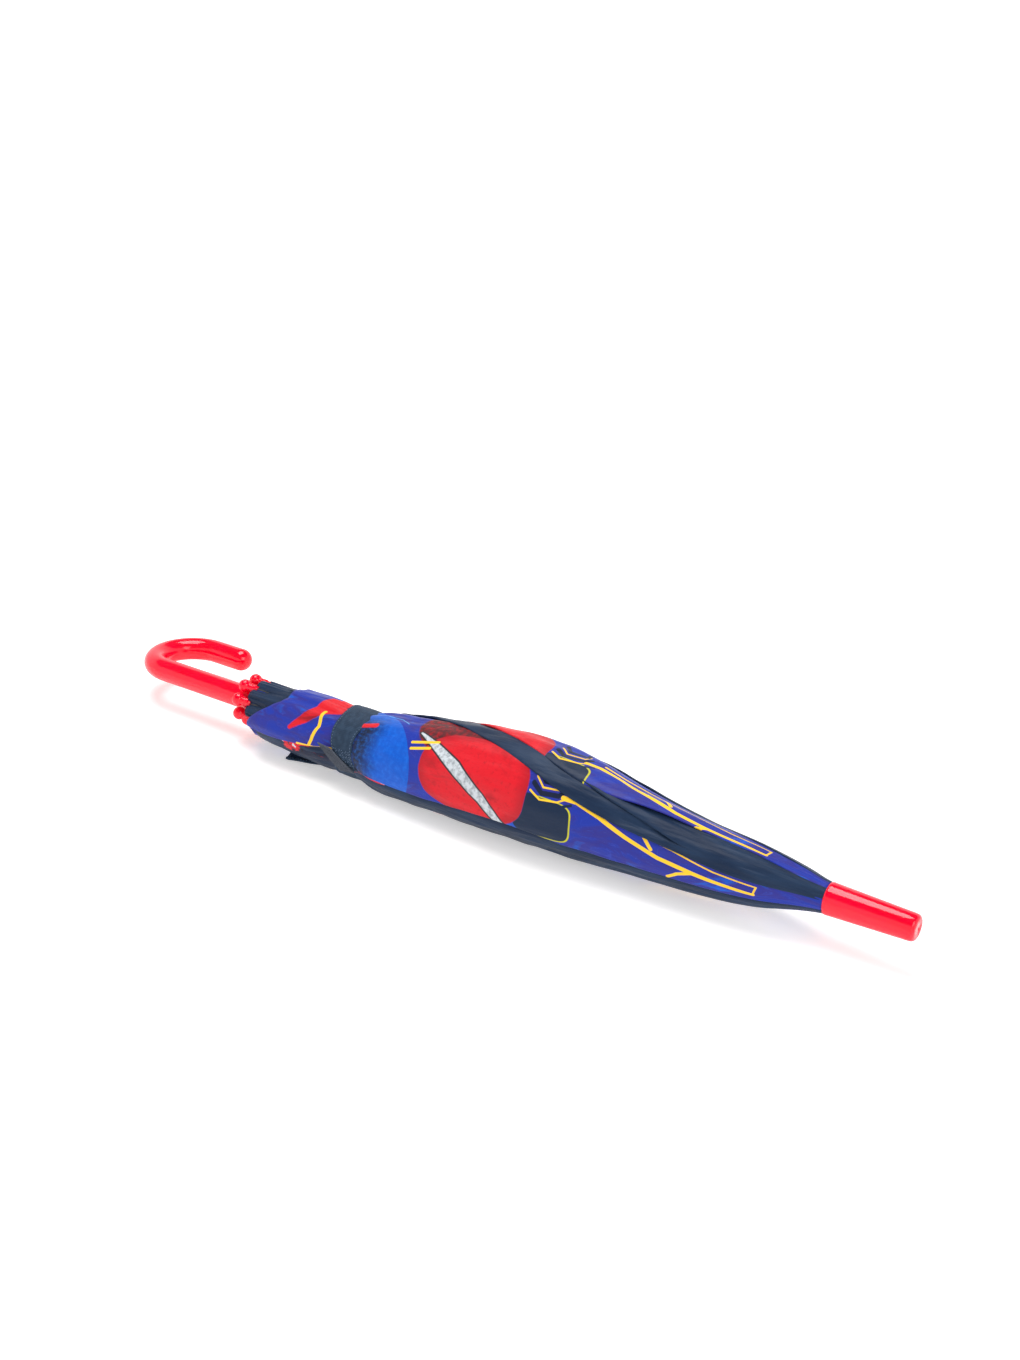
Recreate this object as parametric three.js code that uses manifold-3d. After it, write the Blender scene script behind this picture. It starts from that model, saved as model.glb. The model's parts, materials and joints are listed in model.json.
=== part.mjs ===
// A child's stick umbrella, furled: crook handle, steel shaft, eight ribs with stretchers and a runner,
// eight furled gores held by a strap, ball tips and a tapered end cap.
// Millimetres. The shaft lies along X with the cap at +X, and the canopy rests on the plane z = 0.
// Inside the assembly, x = 0 is the plane of the rib pivots and the shaft's axis is y = z = 0.
import * as THREE from 'three';
import { mergeVertices } from 'three/addons/utils/BufferGeometryUtils.js';
import Module from 'manifold-3d';

const wasm = await Module();
wasm.setup();

// ---- Driving dimensions -------------------------------------------------------------------------
const clearance = 0.3;          // between pieces that seat in each other
const ribCount = 8;

// Furled canopy
const axisHeight = 27;          // shaft axis above the table that the canopy lies on
const ribLength = 429;          // pivot to the middle of the ball tip
const hemToBall = 10;           // the cloth ends this far before the ball's middle
const clothThickness = 2;       // one gore's packed folds
const goreGap = 2;              // degrees between neighbouring gores
const clothStart = 1.5;         // the gores start this far below the pivots

// Ribs and stretchers
const wireRadius = 1.2;         // rib and stretcher rod
const pivotRadius = 7.5;        // rib pivots and runner pivots, from the axis
const tipRadius = 13.8;         // ball tips, from the axis
const ribBow = 11;              // how far a rib bows out of the straight line
const stretcherLength = 165;    // pivot to pivot, and rib pivot to stretcher pivot
const jointInset = 3;           // stretcher pivot inside the rib's middle line
const eyeRadius = 1.5;          // rod ends
const eyeHole = 0.9;
const pinRadius = 0.5;          // ring wires and the pins of the forks
const forkPlate = 0.8;

// Ball tips
const ballRadius = 4.5;
const socketRadius = 2.6;
const socketLength = 9;
const socketSunk = 1.5;         // this much of the socket is inside the ball

// Shaft, notch, runner and their catches
const shaftRadius = 4.5;
const shaftWall = 0.8;
const crownRadius = 9.3;        // notch and runner crown
const crownRoof = 2.5;          // solid part over the slots
const crownHalf = 3;            // slotted part, each side of the pivot plane
const runnerLength = 48;
const sleeveRadius = 8.2;
const flangeRadius = 9.3;
const flangeThickness = 3;
const catchReach = 5.9;         // top of a catch, from the axis
const catchLength = 20;
const catchThickness = 1.2;
const windowLength = 10;        // opening in the runner that shows the lower catch
const openAngle = 66;           // the ribs' travel, in degrees
const stopPinRadius = 1.1;
const stopPinReach = 6.2;

// Cap
const capLength = 52;
const capBaseRadius = 9.55;
const capTipRadius = 7.8;
const capRound = 2.5;
const capHoleRadius = 0.6;
const capHoleDepth = 3;
const capSocketDepth = 24;      // the shaft's end sits this deep in the cap
const notchToCap = 6;
const crownDiscRadius = 9;      // cloth disc under the cap
const crownDiscThickness = 1;

// Handle
const gripRadius = 8.25;
const gripBeyondTips = 86;      // straight grip between the ball tips and the bend
const gripToRunner = 15;        // from the grip's top to the closed runner
const gripBoreDepth = 60;
const crookRadius = 26;         // middle line of the bend
const crookLeg = 30;            // straight end after the bend, its round end included
const crookTurn = -5;           // the bend's plane leans this many degrees from level

// Strap
const strapWidth = 25;
const strapThickness = 1.2;
const strapPlace = 0.77;        // along the ribs, as a share of their length
const tabLength = 26;
const tabWidth = 15;
const tabAngle = -172;          // where the fastening tab lies round the bundle, degrees
const tabShift = 2;             // the tab's middle lies this far from the strap's, towards the handle
const tailLength = 44;
const tailWidth = 14;
const tailSide = -19;           // the strap's loose tail lies this far to the side of the axis
const tailShift = 17;           // and starts this far from the strap's middle, towards the handle

// Furled outline: place along the ribs as a share of their length, then the radius in millimetres on the
// upper far side and on the lower near side. The strap pinches the two stations beside it.
const strapPinch = 0.03;
const outline = [
  [0, 12, 12],
  [0.07, 15.5, 17.5],
  [0.154, 19.5, 22.2],
  [0.247, 25, 25],
  [0.434, 37, 28.9],
  [0.573, 31.6, 30.3],
  [0.699, 23.5, 29.5],
  [strapPlace - strapPinch, 19.5, 25.2],
  [strapPlace + strapPinch, 19.5, 25.2],
  [0.921, 19.5, 28.4],
  [1, 20, 27.5],
];
const outlineLean = 60;         // direction of the upper far side, degrees from +Y towards +Z

// ---- Colours ------------------------------------------------------------------------------------
const finish = {
  redPlastic: { color: 0xe3082a, roughness: 0.22, metalness: 0 },
  blackPlastic: { color: 0x15161a, roughness: 0.45, metalness: 0 },
  brightSteel: { color: 0xc9ccd0, roughness: 0.25, metalness: 1 },
  darkSteel: { color: 0x2a2c30, roughness: 0.4, metalness: 0.8 },
  printedCloth: { color: 0x2b36b4, roughness: 0.7, metalness: 0 },
  navyCloth: { color: 0x16243f, roughness: 0.75, metalness: 0 },
  navyWebbing: { color: 0x1d2d45, roughness: 0.85, metalness: 0 },
  greyHookTape: { color: 0x454a55, roughness: 0.9, metalness: 0 },
};

// ---- Helpers ------------------------------------------------------------------------------------
const radians = THREE.MathUtils.degToRad;

function mesh(name, geometry, look) {
  const piece = new THREE.Mesh(geometry, new THREE.MeshStandardMaterial(look));
  piece.name = name;
  return piece;
}

function solid(geometry) {
  const bare = geometry.clone();
  bare.deleteAttribute('normal');
  bare.deleteAttribute('uv');
  const welded = mergeVertices(bare, 1e-4);
  return new wasm.Manifold(new wasm.Mesh({
    numProp: 3,
    vertProperties: new Float32Array(welded.attributes.position.array),
    triVerts: new Uint32Array(welded.index.array),
  }));
}

function geometryOf(manifold) {
  const { vertProperties, triVerts } = manifold.getMesh();
  const geometry = new THREE.BufferGeometry();
  geometry.setAttribute('position', new THREE.BufferAttribute(new Float32Array(vertProperties), 3));
  geometry.setIndex(new THREE.BufferAttribute(new Uint32Array(triVerts), 1));
  geometry.computeVertexNormals();
  return geometry;
}

// Joins the first list and cuts away the second.
function carve(joined, cuts = []) {
  let body = solid(joined[0]);
  for (const extra of joined.slice(1)) body = body.add(solid(extra));
  for (const cut of cuts) body = body.subtract(solid(cut));
  return geometryOf(body);
}

// Skins a list of closed rings of points, with flat ends.
function loft(rings) {
  const count = rings[0].length;
  const positions = rings.flat().flatMap((point) => [point.x, point.y, point.z]);
  const index = [];
  for (let ring = 0; ring + 1 < rings.length; ring += 1) {
    for (let side = 0; side < count; side += 1) {
      const next = (side + 1) % count;
      const a = ring * count + side;
      const b = ring * count + next;
      index.push(a, b, a + count, b, b + count, a + count);
    }
  }
  for (const ring of [0, rings.length - 1]) {
    const drop = largestAxis(ringNormal(rings[ring]));
    const contour = rings[ring].map((point) => flatten(point, drop));
    const faces = THREE.ShapeUtils.triangulateShape(contour, []);
    const forward = faces.some((face) => runsForward(face, count));
    for (const [a, b, c] of faces) {
      const triangle = forward === (ring === 0) ? [a, c, b] : [a, b, c];
      index.push(...triangle.map((corner) => ring * count + corner));
    }
  }
  const geometry = new THREE.BufferGeometry();
  geometry.setAttribute('position', new THREE.Float32BufferAttribute(positions, 3));
  geometry.setIndex(index);
  return outward(geometry);
}

function ringNormal(points) {
  const normal = new THREE.Vector3();
  points.forEach((point, i) => {
    const next = points[(i + 1) % points.length];
    normal.add(new THREE.Vector3().crossVectors(point, next));
  });
  return normal.normalize();
}

// True where a face of a flat end runs along the ring's own order.
function runsForward([a, b, c], count) {
  return [[a, b], [b, c], [c, a]].some(([from, to]) => to === (from + 1) % count);
}

function largestAxis(vector) {
  const sizes = vector.toArray().map(Math.abs);
  return sizes.indexOf(Math.max(...sizes));
}

function flatten(point, drop) {
  const kept = point.toArray().filter((_, axis) => axis !== drop);
  return new THREE.Vector2(...kept);
}

// Turns a closed mesh the right way out, by the sign of its volume.
function outward(geometry) {
  const p = geometry.attributes.position;
  const index = Array.from(geometry.index.array);
  const corner = (i) => new THREE.Vector3().fromBufferAttribute(p, i);
  let volume = 0;
  for (let i = 0; i < index.length; i += 3) {
    const [a, b, c] = [0, 1, 2].map((k) => corner(index[i + k]));
    volume += a.dot(b.cross(c));
  }
  if (volume < 0) {
    for (let i = 0; i < index.length; i += 3) {
      [index[i + 1], index[i + 2]] = [index[i + 2], index[i + 1]];
    }
    geometry.setIndex(index);
  }
  geometry.computeVertexNormals();
  return geometry;
}

// Closed profile of [along X, radius] points, turned about X.
function turned(profile, sides = 20) {
  const points = profile.map(([x, r]) => new THREE.Vector2(r, x));
  const lathe = new THREE.LatheGeometry(points, sides);
  lathe.rotateZ(-Math.PI / 2);
  return outward(mergeIndexed(lathe));
}

function mergeIndexed(geometry) {
  const bare = geometry.clone();
  bare.deleteAttribute('normal');
  bare.deleteAttribute('uv');
  return dropSlivers(mergeVertices(bare, 1e-4));
}

// A lathe leaves triangles of no area where its profile meets the axis.
function dropSlivers(geometry) {
  const index = geometry.index.array;
  const kept = [];
  for (let i = 0; i < index.length; i += 3) {
    const [a, b, c] = [index[i], index[i + 1], index[i + 2]];
    if (a !== b && b !== c && c !== a) kept.push(a, b, c);
  }
  geometry.setIndex(kept);
  return geometry;
}

// A rod of round section along points in the plane of a rib: [along X, distance from the axis].
function rod(points, radius, sides = 6) {
  const rings = points.map(([x, y], i) => {
    const [x0, y0] = points[Math.max(i - 1, 0)];
    const [x1, y1] = points[Math.min(i + 1, points.length - 1)];
    const along = new THREE.Vector2(x1 - x0, y1 - y0).normalize();
    return Array.from({ length: sides }, (_, k) => {
      const turn = (2 * Math.PI * (k + 0.5)) / sides;
      const side = radius * Math.cos(turn);
      return new THREE.Vector3(x - along.y * side, y + along.x * side, radius * Math.sin(turn));
    });
  });
  return loft(rings);
}

// A cylinder across a rib's plane, at [along X, distance from the axis].
function across([x, y], radius, width, sides = 8) {
  const cylinder = new THREE.CylinderGeometry(radius, radius, width, sides);
  cylinder.rotateX(Math.PI / 2);
  cylinder.translate(x, y, 0);
  return cylinder;
}

function box(x0, x1, y0, y1, z0, z1) {
  const block = new THREE.BoxGeometry(x1 - x0, y1 - y0, z1 - z0);
  block.translate((x0 + x1) / 2, (y0 + y1) / 2, (z0 + z1) / 2);
  return block;
}

// Puts a piece that was drawn in the +Y half plane at an angle round the shaft.
function turnedTo(degrees, ...pieces) {
  const holder = new THREE.Group();
  holder.rotation.x = radians(degrees);
  holder.add(...pieces);
  return holder;
}

// ---- The folding geometry -------------------------------------------------------------------------
const ribAngle = (number) => 360 / ribCount * (number - 0.5);

// Middle line of a closed rib: it bows out most a third of the way along.
function ribRadiusAt(distance) {
  const share = distance / ribLength;
  const bow = share * (1 - share) ** 2 / (4 / 27);
  return pivotRadius + (tipRadius - pivotRadius) * share + ribBow * bow;
}

// Angle between the shaft and the line from the rib's pivot to the stretcher's pivot.
function closedAngle() {
  let angle = 0;
  for (let pass = 0; pass < 20; pass += 1) {
    const reach = ribRadiusAt(stretcherLength * Math.cos(angle)) - jointInset - pivotRadius;
    angle = Math.asin(reach / stretcherLength);
  }
  return angle;
}

const restAngle = closedAngle();
const forkPoint = [
  -stretcherLength * Math.cos(restAngle),
  pivotRadius + stretcherLength * Math.sin(restAngle),
];
const runnerX = -2 * stretcherLength * Math.cos(restAngle);
const runnerOpenX = -2 * stretcherLength * Math.cos(restAngle + radians(openAngle));
const runnerLowX = runnerX + crownHalf - runnerLength;
const slotHalfWidth = wireRadius + clearance;
const slotFloor = pivotRadius - eyeRadius - 0.2;
const boreRadius = shaftRadius + clearance;

// Furled radius at a distance below the pivots and an angle round the shaft.
const stations = outline.map(([place]) => place);
const upper = new THREE.SplineCurve(outline.map(([place, r]) => new THREE.Vector2(place, r)));
const lower = new THREE.SplineCurve(outline.map(([place, , r]) => new THREE.Vector2(place, r)));

function outlineAt(curve, distance) {
  const place = distance / ribLength;
  const span = Math.max(stations.findIndex((station) => station >= place), 1);
  const share = (place - stations[span - 1]) / (stations[span] - stations[span - 1]);
  return curve.getPoint((span - 1 + share) / (stations.length - 1)).y;
}

function bundleRadius(distance, degrees) {
  const lean = Math.cos(radians(degrees - outlineLean));
  const loose = (outlineAt(upper, distance) * (1 + lean) + outlineAt(lower, distance) * (1 - lean)) / 2;
  const ribLimit = ribRadiusAt(distance) + wireRadius + 1.5 * clearance + clothThickness;
  const down = -Math.sin(radians(degrees));
  const table = down > 0 ? axisHeight / down : Infinity;
  return Math.min(Math.max(loose, ribLimit), table);
}

function polar(x, radius, degrees) {
  const turn = radians(degrees);
  return new THREE.Vector3(x, radius * Math.cos(turn), radius * Math.sin(turn));
}

// ---- Handle, shaft, cap ---------------------------------------------------------------------------
const gripTopX = runnerLowX - gripToRunner;
const bendX = -(ribLength + gripBeyondTips);
const capBaseX = notchToCap;

function handle() {
  const straight = gripTopX - bendX;
  const bend = Math.PI * crookRadius;
  const leg = crookLeg - gripRadius;
  const stations = [[0, 0.86], [1.2, 1]];
  for (let i = 1; i <= 3; i += 1) stations.push([(straight - 2) * i / 3, 1]);
  for (let i = 1; i <= 16; i += 1) stations.push([straight + bend * i / 16, 1]);
  for (let i = 1; i <= 6; i += 1) {
    const turn = Math.PI / 2 * i / 6.4;
    stations.push([straight + bend + leg + gripRadius * Math.sin(turn), Math.cos(turn)]);
  }
  const rings = stations.map(([along, share]) => {
    const turn = THREE.MathUtils.clamp((along - straight) / crookRadius, 0, Math.PI);
    const past = Math.max(along - straight - bend, 0);
    const before = Math.max(straight - along, 0);
    const x = bendX + before - crookRadius * Math.sin(turn) + past;
    const y = crookRadius * (1 - Math.cos(turn));
    return Array.from({ length: 20 }, (_, k) => {
      const around = 2 * Math.PI * k / 20;
      const out = gripRadius * share * Math.cos(around);
      return new THREE.Vector3(x + out * Math.sin(turn), y + out * Math.cos(turn),
        gripRadius * share * Math.sin(around));
    });
  });
  const bore = turned([
    [gripTopX + 1, 0], [gripTopX + 1, boreRadius], [gripTopX - gripBoreDepth, boreRadius],
    [gripTopX - gripBoreDepth, 0],
  ]);
  const grip = mesh('crook_handle', carve([loft(rings)], [bore]), finish.redPlastic);
  return turnedTo(crookTurn, grip);
}

const shaftStartX = gripTopX - gripBoreDepth + clearance;
const shaftEndX = capBaseX + capSocketDepth - clearance;
const stopPinX = runnerOpenX + crownHalf + clearance + stopPinRadius;
const topCatchX = runnerOpenX + crownHalf - runnerLength - 2 * clearance;
const windowX = runnerLowX + flangeThickness + 6;
const bottomCatchX = windowX + windowLength - 3;

// A catch is a leaf in the shaft: its hinge end is the first point, its steep face the last one.
function catchShape(steepX, direction) {
  const outlineXY = [
    [catchLength, -1], [0, -1], [0, catchReach], [1.2, catchReach], [11, 1.4], [catchLength, 0.8],
  ].map(([back, height]) => new THREE.Vector2(steepX - direction * back, height));
  const leaf = new THREE.ExtrudeGeometry(new THREE.Shape(outlineXY), {
    depth: catchThickness, bevelEnabled: false,
  });
  leaf.translate(0, 0, -catchThickness / 2);
  return leaf;
}

function shaft() {
  const inner = shaftRadius - shaftWall;
  const tube = turned([
    [shaftStartX, inner], [shaftStartX, shaftRadius], [shaftEndX, shaftRadius], [shaftEndX, inner],
    [shaftStartX, inner],
  ]);
  const half = catchThickness / 2 + clearance;
  const slot = (steepX, direction) => {
    const [a, b] = [steepX + direction * 1, steepX - direction * 14].sort((p, q) => p - q);
    return box(a, b, 1, shaftRadius + 2, -half, half);
  };
  const pinHole = across([stopPinX, 0], stopPinRadius + clearance, 3 * shaftRadius);
  const geometry = carve([tube], [slot(topCatchX, 1), slot(bottomCatchX, -1), pinHole]);
  return turnedTo(90, mesh('shaft_tube', geometry, finish.brightSteel));
}

function catches() {
  return turnedTo(90,
    mesh('top_catch', catchShape(topCatchX, 1), finish.brightSteel),
    mesh('bottom_catch', catchShape(bottomCatchX, -1), finish.brightSteel),
    mesh('stop_pin', across([stopPinX, 0], stopPinRadius, 2 * stopPinReach), finish.brightSteel));
}

function cap() {
  const tipX = capBaseX + capLength;
  const round = [];
  for (let i = 0; i <= 4; i += 1) {
    const turn = Math.PI / 2 * i / 4;
    round.push([tipX - capRound * (1 - Math.sin(turn)), capTipRadius - capRound * (1 - Math.cos(turn))]);
  }
  const socket = [
    [capBaseX + capSocketDepth, 0], [capBaseX + capSocketDepth, boreRadius], [capBaseX, boreRadius],
  ];
  const profile = [
    ...socket, [capBaseX, capBaseRadius - 0.5], [capBaseX + 0.5, capBaseRadius], ...round,
    [tipX, capHoleRadius], [tipX - capHoleDepth, capHoleRadius], [tipX - capHoleDepth, 0],
  ];
  return mesh('end_cap', turned(profile, 24), finish.redPlastic);
}

function crownDisc() {
  const high = capBaseX - clearance;
  const low = high - crownDiscThickness;
  const profile = [
    [low, boreRadius], [low, crownDiscRadius], [high, crownDiscRadius], [high, boreRadius], [low, boreRadius],
  ];
  return mesh('canopy_crown_disc', turned(profile), finish.navyCloth);
}

// ---- Notch, runner and their ring wires -------------------------------------------------------------
// The slots open towards `facing` (-1 the handle, +1 the cap) and are closed on the other side.
function crownCuts(centreX, facing) {
  const cuts = [];
  for (let i = 1; i <= ribCount; i += 1) {
    const open = centreX + facing * (crownHalf + 1);
    const shut = centreX - facing * (eyeRadius + clearance);
    const slot = box(Math.min(open, shut), Math.max(open, shut), slotFloor, 2 * crownRadius,
      -slotHalfWidth, slotHalfWidth);
    slot.rotateX(radians(ribAngle(i)));
    cuts.push(slot);
  }
  const half = pinRadius + clearance;
  const inner = pivotRadius - half;
  cuts.push(turned([
    [centreX - half, inner], [centreX - half, crownRadius + 1], [centreX + half, crownRadius + 1],
    [centreX + half, inner], [centreX - half, inner],
  ], 24));
  return cuts;
}

function ringWire(name, centreX) {
  const ring = new THREE.TorusGeometry(pivotRadius, pinRadius, 6, 24);
  ring.rotateY(Math.PI / 2);
  ring.translate(centreX, 0, 0);
  return mesh(name, outward(mergeIndexed(ring)), finish.brightSteel);
}

function notch() {
  const high = eyeRadius + clearance + crownRoof;
  const body = turned([
    [-crownHalf, boreRadius], [-crownHalf, crownRadius], [high - 1, crownRadius], [high, crownRadius - 1],
    [high, boreRadius], [-crownHalf, boreRadius],
  ], 24);
  return mesh('top_notch', carve([body], crownCuts(0, -1)), finish.blackPlastic);
}

function runner() {
  const high = runnerX + crownHalf;
  const crownLow = runnerX - eyeRadius - clearance - crownRoof;
  const body = turned([
    [runnerLowX, boreRadius], [runnerLowX, flangeRadius], [runnerLowX + flangeThickness, flangeRadius],
    [runnerLowX + flangeThickness + 1, sleeveRadius], [crownLow - 1, sleeveRadius], [crownLow, crownRadius],
    [high, crownRadius], [high, boreRadius], [runnerLowX, boreRadius],
  ], 24);
  const half = catchThickness / 2 + clearance;
  const groove = box(runnerLowX - 1, high + 1, 0, catchReach + clearance / 2, -half, half);
  const window = box(windowX, windowX + windowLength, 0, 2 * sleeveRadius, -half - 0.5, half + 0.5);
  for (const cut of [groove, window]) cut.rotateX(radians(90));
  return mesh('runner', carve([body], [...crownCuts(runnerX, 1), groove, window]), finish.blackPlastic);
}

// ---- Ribs, stretchers, ball tips ---------------------------------------------------------------------
function ribGeometry() {
  const line = [];
  const steps = 10;
  const end = ribLength - ballRadius;
  for (let i = 0; i <= steps; i += 1) {
    const distance = end * i / steps;
    line.push([-distance, ribRadiusAt(distance)]);
  }
  const eye = across([0, pivotRadius], eyeRadius, 2 * wireRadius);
  const plateAt = slotHalfWidth + forkPlate / 2;
  const [forkX, forkY] = forkPoint;
  const plates = [-1, 1].map((side) => {
    const low = forkY - eyeRadius;
    const high = forkY + jointInset + 0.4;
    const plate = box(forkX - eyeRadius, forkX + eyeRadius, low, high, -forkPlate / 2, forkPlate / 2);
    plate.translate(0, 0, side * plateAt);
    return plate;
  });
  const bridge = box(forkX - eyeRadius, forkX + eyeRadius, forkY + jointInset - 0.8, forkY + jointInset + 0.4,
    -plateAt, plateAt);
  const pin = across(forkPoint, pinRadius, 2 * plateAt, 8);
  const hole = across([0, pivotRadius], eyeHole, 6 * wireRadius);
  return carve([rod(line, wireRadius), eye, ...plates, bridge, pin], [hole]);
}

function stretcherGeometry() {
  const foot = [runnerX, pivotRadius];
  const eyes = [foot, forkPoint].map((point) => across(point, eyeRadius, 2 * wireRadius));
  const holes = [foot, forkPoint].map((point) => across(point, eyeHole, 6 * wireRadius));
  return carve([rod([foot, forkPoint], wireRadius), ...eyes], holes);
}

function ballTipGeometry() {
  const ball = new THREE.SphereGeometry(ballRadius, 12, 8);
  ball.rotateZ(Math.PI / 2);
  ball.translate(-ribLength, tipRadius, 0);
  const socket = new THREE.CylinderGeometry(socketRadius, socketRadius, socketLength, 8);
  socket.rotateZ(Math.PI / 2);
  socket.translate(-ribLength + ballRadius + socketLength / 2 - socketSunk, tipRadius, 0);
  const boreWide = wireRadius + 1.5 * clearance;
  const bore = new THREE.CylinderGeometry(boreWide, boreWide, 2 * socketLength, 8);
  bore.rotateZ(Math.PI / 2);
  bore.translate(-ribLength + ballRadius - clearance + socketLength, tipRadius, 0);
  return carve([ball, socket], [bore]);
}

function ribSets() {
  const rib = ribGeometry();
  const stretcher = stretcherGeometry();
  const tip = ballTipGeometry();
  const sets = [];
  for (let i = 1; i <= ribCount; i += 1) {
    sets.push(turnedTo(ribAngle(i),
      mesh(`rib_${i}`, rib, finish.darkSteel),
      mesh(`stretcher_${i}`, stretcher, finish.darkSteel),
      mesh(`ball_tip_${i}`, tip, finish.redPlastic)));
  }
  return sets;
}

// ---- Furled canopy and strap ---------------------------------------------------------------------------
const strapCenter = strapPlace * ribLength;

// The places along the ribs where a gore has a ring of points: even steps, and the strap's two edges.
function goreStations() {
  const reach = ribLength - hemToBall - clothStart;
  const step = reach / 15;
  const edges = [strapCenter - strapWidth / 2, strapCenter + strapWidth / 2];
  const even = Array.from({ length: 16 }, (_, i) => clothStart + step * i);
  const free = even.filter((distance) => edges.every((edge) => Math.abs(distance - edge) > step / 3));
  return [...free, ...edges].sort((a, b) => a - b);
}

function gore(number) {
  const columns = 4;
  const from = ribAngle(number) + goreGap / 2;
  const to = ribAngle(number + 1) - goreGap / 2;
  const rings = [];
  for (const distance of goreStations()) {
    const outer = [];
    const inner = [];
    for (let k = 0; k <= columns; k += 1) {
      const angle = from + (to - from) * k / columns;
      const radius = bundleRadius(distance, angle);
      outer.push(polar(-distance, radius, angle));
      inner.unshift(polar(-distance, radius - clothThickness, angle));
    }
    rings.push([...outer, ...inner]);
  }
  const look = number % 2 ? finish.printedCloth : finish.navyCloth;
  return mesh(`gore_${number}`, loft(rings), look);
}

function strapLoop() {
  const columns = 32;
  const surface = (offset) => {
    const grid = [];
    for (const along of [-0.5, 0, 0.5]) {
      const distance = strapCenter + strapWidth * along;
      grid.push(Array.from({ length: columns }, (_, k) => {
        const angle = 360 * k / columns;
        const widest = Math.max(...[-0.5, 0, 0.5].map((a) => (
          bundleRadius(strapCenter + strapWidth * a, angle))));
        return polar(-distance, widest + 2 * clearance + offset, angle);
      }));
    }
    return loft(grid);
  };
  return mesh('strap_loop', carve([surface(strapThickness)], [longer(surface(0))]), finish.navyWebbing);
}

// The inner surface of a band, stretched along X so that its cut goes right through.
function longer(geometry) {
  const middle = -strapCenter;
  const scaled = geometry.clone();
  scaled.translate(-middle, 0, 0);
  scaled.scale(1.2, 1, 1);
  scaled.translate(middle, 0, 0);
  return scaled;
}

function strapTab() {
  const reach = bundleRadius(strapCenter, tabAngle) + strapThickness + 5 * clearance;
  const tab = box(-tabLength / 2, tabLength / 2, 0, strapThickness + 0.4, -tabWidth / 2, tabWidth / 2);
  tab.translate(-strapCenter - tabShift, reach + 0.6, 0);
  return turnedTo(tabAngle, mesh('strap_tab', tab, finish.greyHookTape));
}

function strapTail() {
  const low = -axisHeight + 0.1;
  const start = -strapCenter - tailShift;
  const tail = box(start - tailLength, start, tailSide - tailWidth / 2, tailSide + tailWidth / 2,
    low, low + strapThickness);
  return mesh('strap_tail', tail, finish.navyWebbing);
}

// ---- Assembly -----------------------------------------------------------------------------------------------
const umbrella = new THREE.Group();
umbrella.add(handle(), shaft(), catches(), cap(), crownDisc(), notch(), ringWire('notch_wire', 0),
  runner(), ringWire('runner_wire', runnerX), ...ribSets(), strapLoop(), strapTab(), strapTail());
for (let i = 1; i <= ribCount; i += 1) umbrella.add(gore(i));

// The row's origin is under the middle of the whole object's box.
const whole = new THREE.Box3().setFromObject(umbrella, true);
const middle = whole.getCenter(new THREE.Vector3());
umbrella.position.set(-middle.x, -middle.y, axisHeight);

const object = new THREE.Group();
object.add(umbrella);
object.updateMatrixWorld(true);

export default object;
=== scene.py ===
# %% [markdown]
# # A child's stick umbrella, furled and strapped
# The umbrella lies closed on a pale table: a hooked red handle, eight cloth gores wound round the ribs,
# a webbing strap, red ball tips and a tapered red cap. The folding frame comes packed from the CAD model.
# This script keeps that frame and makes what the eye sees: smooth plastic, wound cloth flaps with their
# print, the strap with its stitches, and a second set of gores that opens with the ribs.

# %% Load the frame
import json
import math
import bmesh
import bpy
import numpy as np
from mathutils import Matrix, Vector, noise

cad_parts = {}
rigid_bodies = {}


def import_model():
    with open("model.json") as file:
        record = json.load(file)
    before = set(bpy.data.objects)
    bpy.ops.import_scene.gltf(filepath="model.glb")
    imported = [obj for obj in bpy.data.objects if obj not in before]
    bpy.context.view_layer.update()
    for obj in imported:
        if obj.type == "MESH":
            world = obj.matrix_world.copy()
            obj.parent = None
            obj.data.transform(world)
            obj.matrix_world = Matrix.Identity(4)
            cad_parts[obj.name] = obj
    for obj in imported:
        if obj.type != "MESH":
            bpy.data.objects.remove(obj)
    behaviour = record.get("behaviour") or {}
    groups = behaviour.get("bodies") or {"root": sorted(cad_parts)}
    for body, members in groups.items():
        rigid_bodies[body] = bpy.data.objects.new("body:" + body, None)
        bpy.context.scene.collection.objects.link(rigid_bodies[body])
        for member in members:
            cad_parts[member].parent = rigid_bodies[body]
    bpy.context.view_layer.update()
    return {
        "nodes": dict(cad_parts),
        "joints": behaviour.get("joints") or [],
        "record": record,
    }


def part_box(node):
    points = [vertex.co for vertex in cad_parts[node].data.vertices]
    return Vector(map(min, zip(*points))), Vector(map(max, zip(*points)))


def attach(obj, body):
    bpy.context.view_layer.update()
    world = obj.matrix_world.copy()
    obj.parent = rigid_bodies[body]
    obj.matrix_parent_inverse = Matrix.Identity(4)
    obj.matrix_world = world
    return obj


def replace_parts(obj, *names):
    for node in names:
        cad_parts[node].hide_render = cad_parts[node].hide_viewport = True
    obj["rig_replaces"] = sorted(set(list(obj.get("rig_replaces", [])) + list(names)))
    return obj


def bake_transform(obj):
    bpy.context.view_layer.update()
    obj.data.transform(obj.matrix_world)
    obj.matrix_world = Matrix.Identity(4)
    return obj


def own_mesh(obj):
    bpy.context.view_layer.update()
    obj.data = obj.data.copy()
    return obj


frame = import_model()

# %% [markdown]
# ## Places taken from the frame
# Every size below is in millimetres, because a hand can imagine a millimetre. The frame itself is in
# metres, so one number, MM, turns a place into Blender's units at the moment a mesh is made.

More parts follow.
